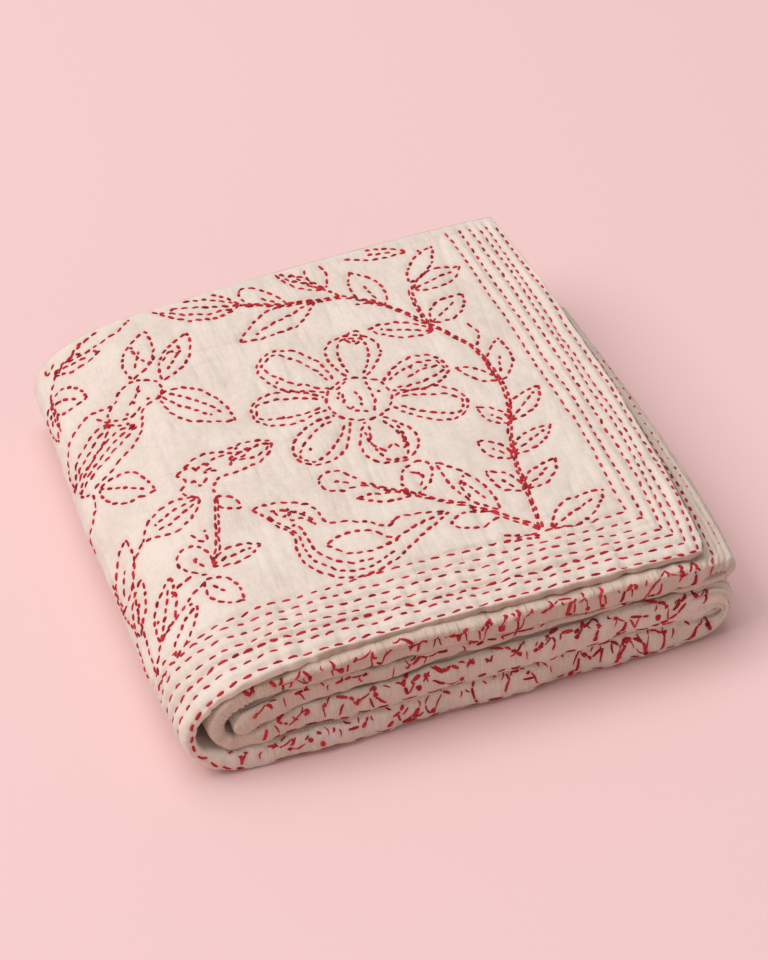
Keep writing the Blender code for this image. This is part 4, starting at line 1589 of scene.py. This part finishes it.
@dataclass(frozen=True)
class StitchForm:
    """One stitch of soft twisted thread, modelled once and copied along the lines."""

    sides: int = 6
    rings: int = 6
    belly: float = 1.12
    shoulder: float = 1.62
    flat_foot: float = 0.6

    def model(self) -> tuple[Points, list[list[int]]]:
        """Shape the stitch from a ball by operators.

        Returns:
            Its points, a unit long and a unit across, and its faces.
        """
        bpy.ops.object.select_all(action="DESELECT")
        bpy.ops.mesh.primitive_uv_sphere_add(segments=self.sides, ring_count=self.rings, radius=0.5)
        ball = bpy.context.object
        bpy.ops.object.mode_set(mode="EDIT")
        bpy.ops.mesh.select_all(action="SELECT")
        bpy.ops.transform.rotate(value=math.pi / 2, orient_axis="Y", center_override=(0, 0, 0))
        bpy.ops.mesh.select_all(action="DESELECT")
        bpy.ops.object.mode_set(mode="OBJECT")
        for least, most, size in ((0.0, 0.3, self.belly), (0.3, 0.48, self.shoulder)):
            for vertex in ball.data.vertices:
                vertex.select = least <= abs(vertex.co.x) < most
            bpy.ops.object.mode_set(mode="EDIT")
            bpy.ops.transform.resize(value=(1.0, size, size), center_override=(0, 0, 0))
            bpy.ops.mesh.select_all(action="DESELECT")
            bpy.ops.object.mode_set(mode="OBJECT")
        for vertex in ball.data.vertices:
            vertex.select = vertex.co.z < -0.01
        bpy.ops.object.mode_set(mode="EDIT")
        bpy.ops.transform.resize(value=(1.0, 1.0, self.flat_foot), center_override=(0, 0, 0))
        bpy.ops.object.mode_set(mode="OBJECT")
        points = np.array([vertex.co[:] for vertex in ball.data.vertices])
        faces = [list(polygon.vertices) for polygon in ball.data.polygons]
        bpy.data.objects.remove(ball)
        return points, faces


@dataclass
class Embroidery:
    """A mesh of many stitches laid on the cloth."""

    name: str
    book: StitchBook
    lift: float = 0.00030
    sink: float = 0.00035
    height: float = 0.82

    def build(self, points: Points, faces: list[list[int]]) -> bpy.types.Object:
        """Copy the stitch to every place in the book.

        Args:
            points: Points of the one stitch.
            faces: Its faces.

        Returns:
            The joined mesh object.
        """
        stations, which = np.unique(np.round(points[:, 0], 4), return_inverse=True)
        book, surface = self.book, self.book.surface
        a, m, b = (book.column(name)[:, None, :] for name in ("start", "middle", "end"))
        t = (stations + 0.5)[None, :, None]
        bow = m - (a + b) / 2
        spots = a * (1 - t) + b * t + bow * 4 * t * (1 - t)
        s, w = spots[..., 0], spots[..., 1]
        lift = self.lift - self.sink * (2 * stations) ** 2 - surface.relief.dimple
        ground = surface.place(s, w, lift, dimples=False)
        normal = surface.normals(s, w)
        along = ground[:, -1] - ground[:, 0]
        along /= np.linalg.norm(along, axis=1)[:, None]
        side = np.cross(normal, along[:, None, :])
        side /= np.linalg.norm(side, axis=-1)[..., None]
        width = book.column("width")[:, None, None]
        across, up = points[:, 1][None, :, None], points[:, 2][None, :, None]
        cloud = (ground[:, which] + side[:, which] * across * width
                 + normal[:, which] * up * width * self.height)
        return self.join(cloud, points, faces)

    def join(self, cloud: Points, points: Points, faces: list[list[int]]) -> bpy.types.Object:
        """Join the copies into one mesh with a tone for every stitch."""
        count, size = cloud.shape[:2]
        offsets = (np.arange(count) * size).tolist()
        all_faces = [[v + offset for v in face] for offset in offsets for face in faces]
        mesh = bpy.data.meshes.new(self.name)
        mesh.from_pydata(cloud.reshape(-1, 3).tolist(), [], all_faces)
        note(mesh, "tone", np.repeat(self.book.column("tone"), size))
        around = np.arctan2(points[:, 2], points[:, 1]) / (2 * math.pi)
        lengths = np.linalg.norm(self.book.column("end") - self.book.column("start"), axis=1)
        u = (points[:, 0][None, :] * lengths[:, None]).ravel()
        lay_out(mesh, "strand", np.stack([u, np.tile(around, count)], 1))
        mesh.shade_smooth()
        return show(self.name, mesh)


class NodeBoard:
    """Small helper that adds and links shader nodes."""

    def __init__(self, name: str) -> None:
        """Start a material with its shader and output."""
        self.material = bpy.data.materials.new(name)
        self.material.use_nodes = True
        self.tree = self.material.node_tree
        self.shader = self.tree.nodes["Principled BSDF"]

    def look(self, **values: object) -> None:
        """Set the shader's own sockets, named with _ for a space."""
        for name, value in values.items():
            self.shader.inputs[name.replace("_", " ")].default_value = value

    def add(self, kind: str, **values: object) -> bpy.types.Node:
        """Add a node and set its properties or inputs.

        Args:
            kind: The node's type name, after ShaderNode.
            values: Properties of the node, or inputs by their name.

        Returns:
            The node.
        """
        node = self.tree.nodes.new("ShaderNode" + kind)
        for key, value in values.items():
            if hasattr(node, key):
                setattr(node, key, value)
            else:
                node.inputs[key].default_value = value
        return node

    def link(self, source: Socket, target: Socket) -> None:
        """Link two sockets."""
        self.tree.links.new(source, target)

    def attribute(self, name: str) -> Socket:
        """Read a value that the mesh carries."""
        return self.add("Attribute", attribute_name=name).outputs["Fac"]

    def stretched(self, scale: Triple) -> Socket:
        """Return the flat layout's places, stretched by a scale."""
        mapping = self.add("Mapping", Scale=scale)
        self.link(self.layout(), mapping.inputs["Vector"])
        return mapping.outputs["Vector"]

    def layout(self) -> Socket:
        """Return the flat layout's places."""
        return self.add("TexCoord").outputs["UV"]

    def noise(self, scale: Triple, detail: float) -> Socket:
        """Return a noise stretched over the flat layout."""
        noise = self.add("TexNoise", Scale=1.0, Detail=detail)
        self.link(self.stretched(scale), noise.inputs["Vector"])
        return noise.outputs["Fac"]

    def wave(self, direction: str, places: Socket, **values: float) -> Socket:
        """Return bands of a wave in a direction over the given places."""
        wave = self.add("TexWave", bands_direction=direction, **values)
        self.link(places, wave.inputs["Vector"])
        return wave.outputs["Fac"]

    def ramp(self, source: Socket, *stops: tuple[float, Colour]) -> Socket:
        """Colour a value by a ramp.

        Args:
            source: The value.
            stops: Place and colour of each stop.

        Returns:
            The colour socket.
        """
        node = self.add("ValToRGB")
        elements = node.color_ramp.elements
        while len(elements) < len(stops):
            elements.new(0.5)
        for element, (place, colour) in zip(elements, stops):
            element.position = place
            element.color = (*colour, 1.0)
        self.link(source, node.inputs["Fac"])
        return node.outputs["Color"]

    def blend(self, tint: Socket, name: str, colour: Colour) -> Socket:
        """Return the tint mixed with a colour where the mesh's own value says."""
        mix = self.add("Mix", data_type="RGBA")
        self.link(self.attribute(name), mix.inputs["Factor"])
        self.link(tint, mix.inputs[6])
        mix.inputs[7].default_value = (*colour, 1.0)
        return mix.outputs[2]

    def math(self, operation: str, *values: Socket | float) -> Socket:
        """Combine sockets or numbers by an operation."""
        node = self.add("Math", operation=operation)
        for target, value in zip(node.inputs, values):
            if isinstance(value, (int, float)):
                target.default_value = value
            else:
                self.link(value, target)
        return node.outputs[0]

    def plus(self, first: Socket, second: Socket) -> Socket:
        """Add two sockets."""
        return self.math("ADD", first, second)

    def times(self, first: Socket, second: Socket | float) -> Socket:
        """Multiply a socket by another or by a number."""
        return self.math("MULTIPLY", first, second)

    def bump(self, height: Socket, strength: float, depth: float,
             under: Socket | None = None) -> Socket:
        """Return the normal of a relief.

        Args:
            height: The relief's height.
            strength: How strongly it shows.
            depth: Its depth in metres.
            under: The normal of the relief that it lies on.

        Returns:
            The normal's socket.
        """
        node = self.add("Bump", Strength=strength, Distance=depth)
        self.link(height, node.inputs["Height"])
        if under is not None:
            self.link(under, node.inputs["Normal"])
        return node.outputs["Normal"]


@dataclass(frozen=True)
class CottonFinish:
    """Undyed hand-woven cotton: slubby plain weave, crinkled, softly shaded."""

    pale: Colour = (0.756, 0.658, 0.560)
    deep: Colour = (0.610, 0.516, 0.424)
    # Painted shade: the darker, warmer cotton painted in the stacked front folds and under the top
    # layer's rim.
    painted_fold_shade: Colour = (0.545, 0.405, 0.305)
    stitched: Colour = (0.720, 0.440, 0.400)
    threads: float = 1900.0
    weave_depth: float = 0.00010
    crinkle_depth: float = 0.00105
    crease: float = 3.4
    crease_most: float = 0.36
    crease_soft: float = 0.26
    tuck: float = 3.4
    pucker: float = 3.2

    def material(self) -> bpy.types.Material:
        """Return the cotton material, patterned in cloth coordinates."""
        board = NodeBoard("quilted_cotton_weave")
        slub = board.noise((900.0, 130.0, 1.0), 2.0)
        weft = board.noise((130.0, 900.0, 1.0), 2.0)
        cloud = board.noise((26.0, 26.0, 1.0), 3.0)
        mixed = board.plus(board.times(board.plus(slub, weft), 0.28), board.times(cloud, 0.44))
        tint = board.ramp(mixed, (0.30, self.deep), (0.58, self.pale))
        # Mix in the painted shade of the folds and the rim.
        tint = board.blend(tint, "painted_fold_shade", self.painted_fold_shade)
        tint = board.blend(tint, "stitched", self.stitched)
        board.link(tint, board.shader.inputs["Base Color"])
        board.look(Roughness=0.93, Sheen_Weight=0.25, Sheen_Roughness=0.55, Specular_IOR_Level=0.22)
        waves = (board.wave(way, board.layout(), Scale=self.threads / (2 * math.pi),
                            Distortion=1.5, Detail=1.0) for way in ("X", "Y"))
        weave = board.plus(board.plus(*waves), board.plus(slub, weft))
        crinkled = board.bump(self.crinkles(board), 0.55, self.crinkle_depth)
        normal = board.bump(weave, 0.5, self.weave_depth, crinkled)
        board.link(normal, board.shader.inputs["Normal"])
        return board.material

    def crinkles(self, board: NodeBoard) -> Socket:
        """Return the height of the crinkles, creases and tucks."""
        wrinkle = board.noise((190.0, 70.0, 1.0), 4.0)
        cross = board.noise((60.0, 210.0, 1.0), 4.0)
        creases = []
        for scale in ((104.0, 17.0, 1.0), (16.0, 88.0, 1.0)):
            web = board.math("SUBTRACT", board.noise(scale, 0.0), 0.5)
            line = board.times(board.math("ABSOLUTE", web), self.crease)
            creases.append(board.math("SMOOTH_MIN", line, self.crease_most, self.crease_soft))
        folds = board.plus(board.plus(wrinkle, cross), board.plus(*creases))
        tuck = board.times(board.noise((330.0, 60.0, 1.0), 3.0), self.tuck)
        rough = board.plus(tuck, board.times(wrinkle, self.pucker))
        return board.plus(folds, board.times(board.attribute("puckered"), rough))


@dataclass(frozen=True)
class ThreadFinish:
    """Soft crimson embroidery cotton, a little different in every stitch."""

    dark: Colour = (0.260, 0.006, 0.012)
    mid: Colour = (0.440, 0.012, 0.020)
    bright: Colour = (0.590, 0.026, 0.036)
    twist: float = 1400.0
    twist_depth: float = 0.00012

    def material(self) -> bpy.types.Material:
        """Return the thread material, its tone read from each stitch."""
        board = NodeBoard("crimson_thread")
        tint = board.ramp(board.attribute("tone"), (0.0, self.dark), (0.35, self.mid),
                          (1.0, self.bright))
        board.link(tint, board.shader.inputs["Base Color"])
        board.look(Roughness=0.72, Sheen_Weight=0.04, Specular_IOR_Level=0.20)
        twist = board.wave("DIAGONAL", board.stretched((self.twist, 3.0, 1.0)), Scale=1.0)
        board.link(board.bump(twist, 0.6, self.twist_depth), board.shader.inputs["Normal"])
        return board.material


@dataclass(frozen=True)
class FloorFinish:
    """Matte pale pink paper."""

    colour: Colour = (0.800, 0.552, 0.524)

    def material(self) -> bpy.types.Material:
        """Return the floor material."""
        board = NodeBoard("pale_floor")
        board.look(Base_Color=(*self.colour, 1.0), Roughness=0.95, Specular_IOR_Level=0.1)
        return board.material


@dataclass(frozen=True)
class Light:
    """A soft studio light aimed at the quilt."""

    name: str
    place: Triple
    size: float
    power: float
    colour: Colour

    def build(self) -> None:
        """Hang the light and turn it to the quilt."""
        data = bpy.data.lights.new(self.name, "AREA")
        data.size = self.size
        data.energy = self.power
        data.color = self.colour
        lamp = show(self.name, data)
        lamp.location = self.place
        lamp.rotation_euler = (-Vector(self.place)).to_track_quat("-Z", "Y").to_euler()


@dataclass(frozen=True)
class Studio:
    """Camera, floor and lights."""

    azimuth: float = -19.83
    elevation: float = 43.59
    distance: float = 1.9017
    target: Triple = (0.02272, 0.03612, 0.0)
    focal: float = 100.0
    film: float = 36.0
    floor_side: float = 14.0
    floor_height: float = -0.0002
    sky: Colour = (1.0, 0.965, 0.990)
    sky_strength: float = 0.36
    lights: tuple[Light, ...] = (
        Light("key", (-4.75, 0.45, 5.60), 4.2, 290.0, (1.0, 0.985, 1.010)),
        Light("softbox", (-0.60, 0.90, 4.60), 3.6, 106.0, (1.0, 0.980, 1.010)),
        Light("bounce", (0.40, -3.00, 0.90), 2.0, 6.0, (1.0, 0.480, 0.340)),
    )

    def build(self) -> None:
        """Set up the camera, the floor, the sky and the lights."""
        self.camera()
        self.floor()
        for light in self.lights:
            light.build()
        world = bpy.data.worlds.new("studio")
        world.use_nodes = True
        sky = world.node_tree.nodes["Background"]
        sky.inputs["Color"].default_value = (*self.sky, 1.0)
        sky.inputs["Strength"].default_value = self.sky_strength
        bpy.context.scene.world = world
        bpy.context.scene.view_settings.view_transform = "Standard"

    def camera(self) -> None:
        """Set the camera at its angle."""
        a, e = math.radians(self.azimuth), math.radians(self.elevation)
        back = Vector((math.sin(a) * math.cos(e), -math.cos(a) * math.cos(e), math.sin(e)))
        data = bpy.data.cameras.new("camera")
        data.lens = self.focal
        data.sensor_width = self.film
        camera = show("camera", data)
        camera.location = Vector(self.target) + back * self.distance
        camera.rotation_euler = (-back).to_track_quat("-Z", "Y").to_euler()
        bpy.context.scene.camera = camera

    def floor(self) -> None:
        """Lay the plain floor just under the quilt."""
        bpy.ops.object.select_all(action="DESELECT")
        bpy.ops.mesh.primitive_plane_add(size=self.floor_side,
                                         location=(0.0, 0.0, self.floor_height))
        floor = bpy.context.object
        floor.name = "floor"
        floor.data.materials.append(FloorFinish().material())


@dataclass
class Quilt:
    """The whole quilt: cloth and embroidery on the route through its folds."""

    path: FoldedPath = field(default_factory=FoldedPath)
    border: Border = field(default_factory=Border)
    slot_name: str = "quilted_cotton"
    seeds: tuple[tuple[str, int], ...] = (("border_stitches", 3), ("garden_stitches", 5),
                                          ("front_stitches", 8), ("edge_stitches", 13))

    def sew(self, surface: ClothSurface) -> dict[str, StitchBook]:
        """Lay out the stitches of each piece of embroidery, by its name."""
        books = {name: StitchBook(surface, seed) for name, seed in self.seeds}
        border, garden, front, edge = books.values()
        for work in (BorderEmbroidery(border, self.border), GardenEmbroidery(garden),
                     FrontEmbroidery(front), EdgeEmbroidery(edge)):
            work.sew()
            work.book.trim()
        return books

    def build(self) -> list[bpy.types.Object]:
        """Lay out the stitches, shape the cloth under them and dress both."""
        relief = Relief(self.border, self.path.starts)
        surface = ClothSurface(self.path, relief)
        books = self.sew(surface)
        relief.learn(np.concatenate([book.along() for book in books.values()]))
        sheet = QuiltCloth(surface)
        cloth = sheet.build()
        cloth.data.materials.append(CottonFinish().material())
        points, faces = StitchForm().model()
        thread = ThreadFinish().material()
        pieces = [cloth]
        for name, book in books.items():
            pieces.append(Embroidery(name, book).build(points, faces))
            pieces[-1].data.materials.append(thread)
            LOG.info("%s: %d stitches", name, len(book.stitches))
        for piece in pieces:
            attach(piece, "root")
            LOG.info("%s: %d faces", piece.name, len(piece.data.polygons))
        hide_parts("quilt")
        return pieces


def main() -> None:
    """Build the studio and the quilt."""
    logging.basicConfig(level=logging.INFO, format="%(message)s")
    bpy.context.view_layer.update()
    Studio().build()
    Quilt().build()


if __name__ == "__main__":
    main()
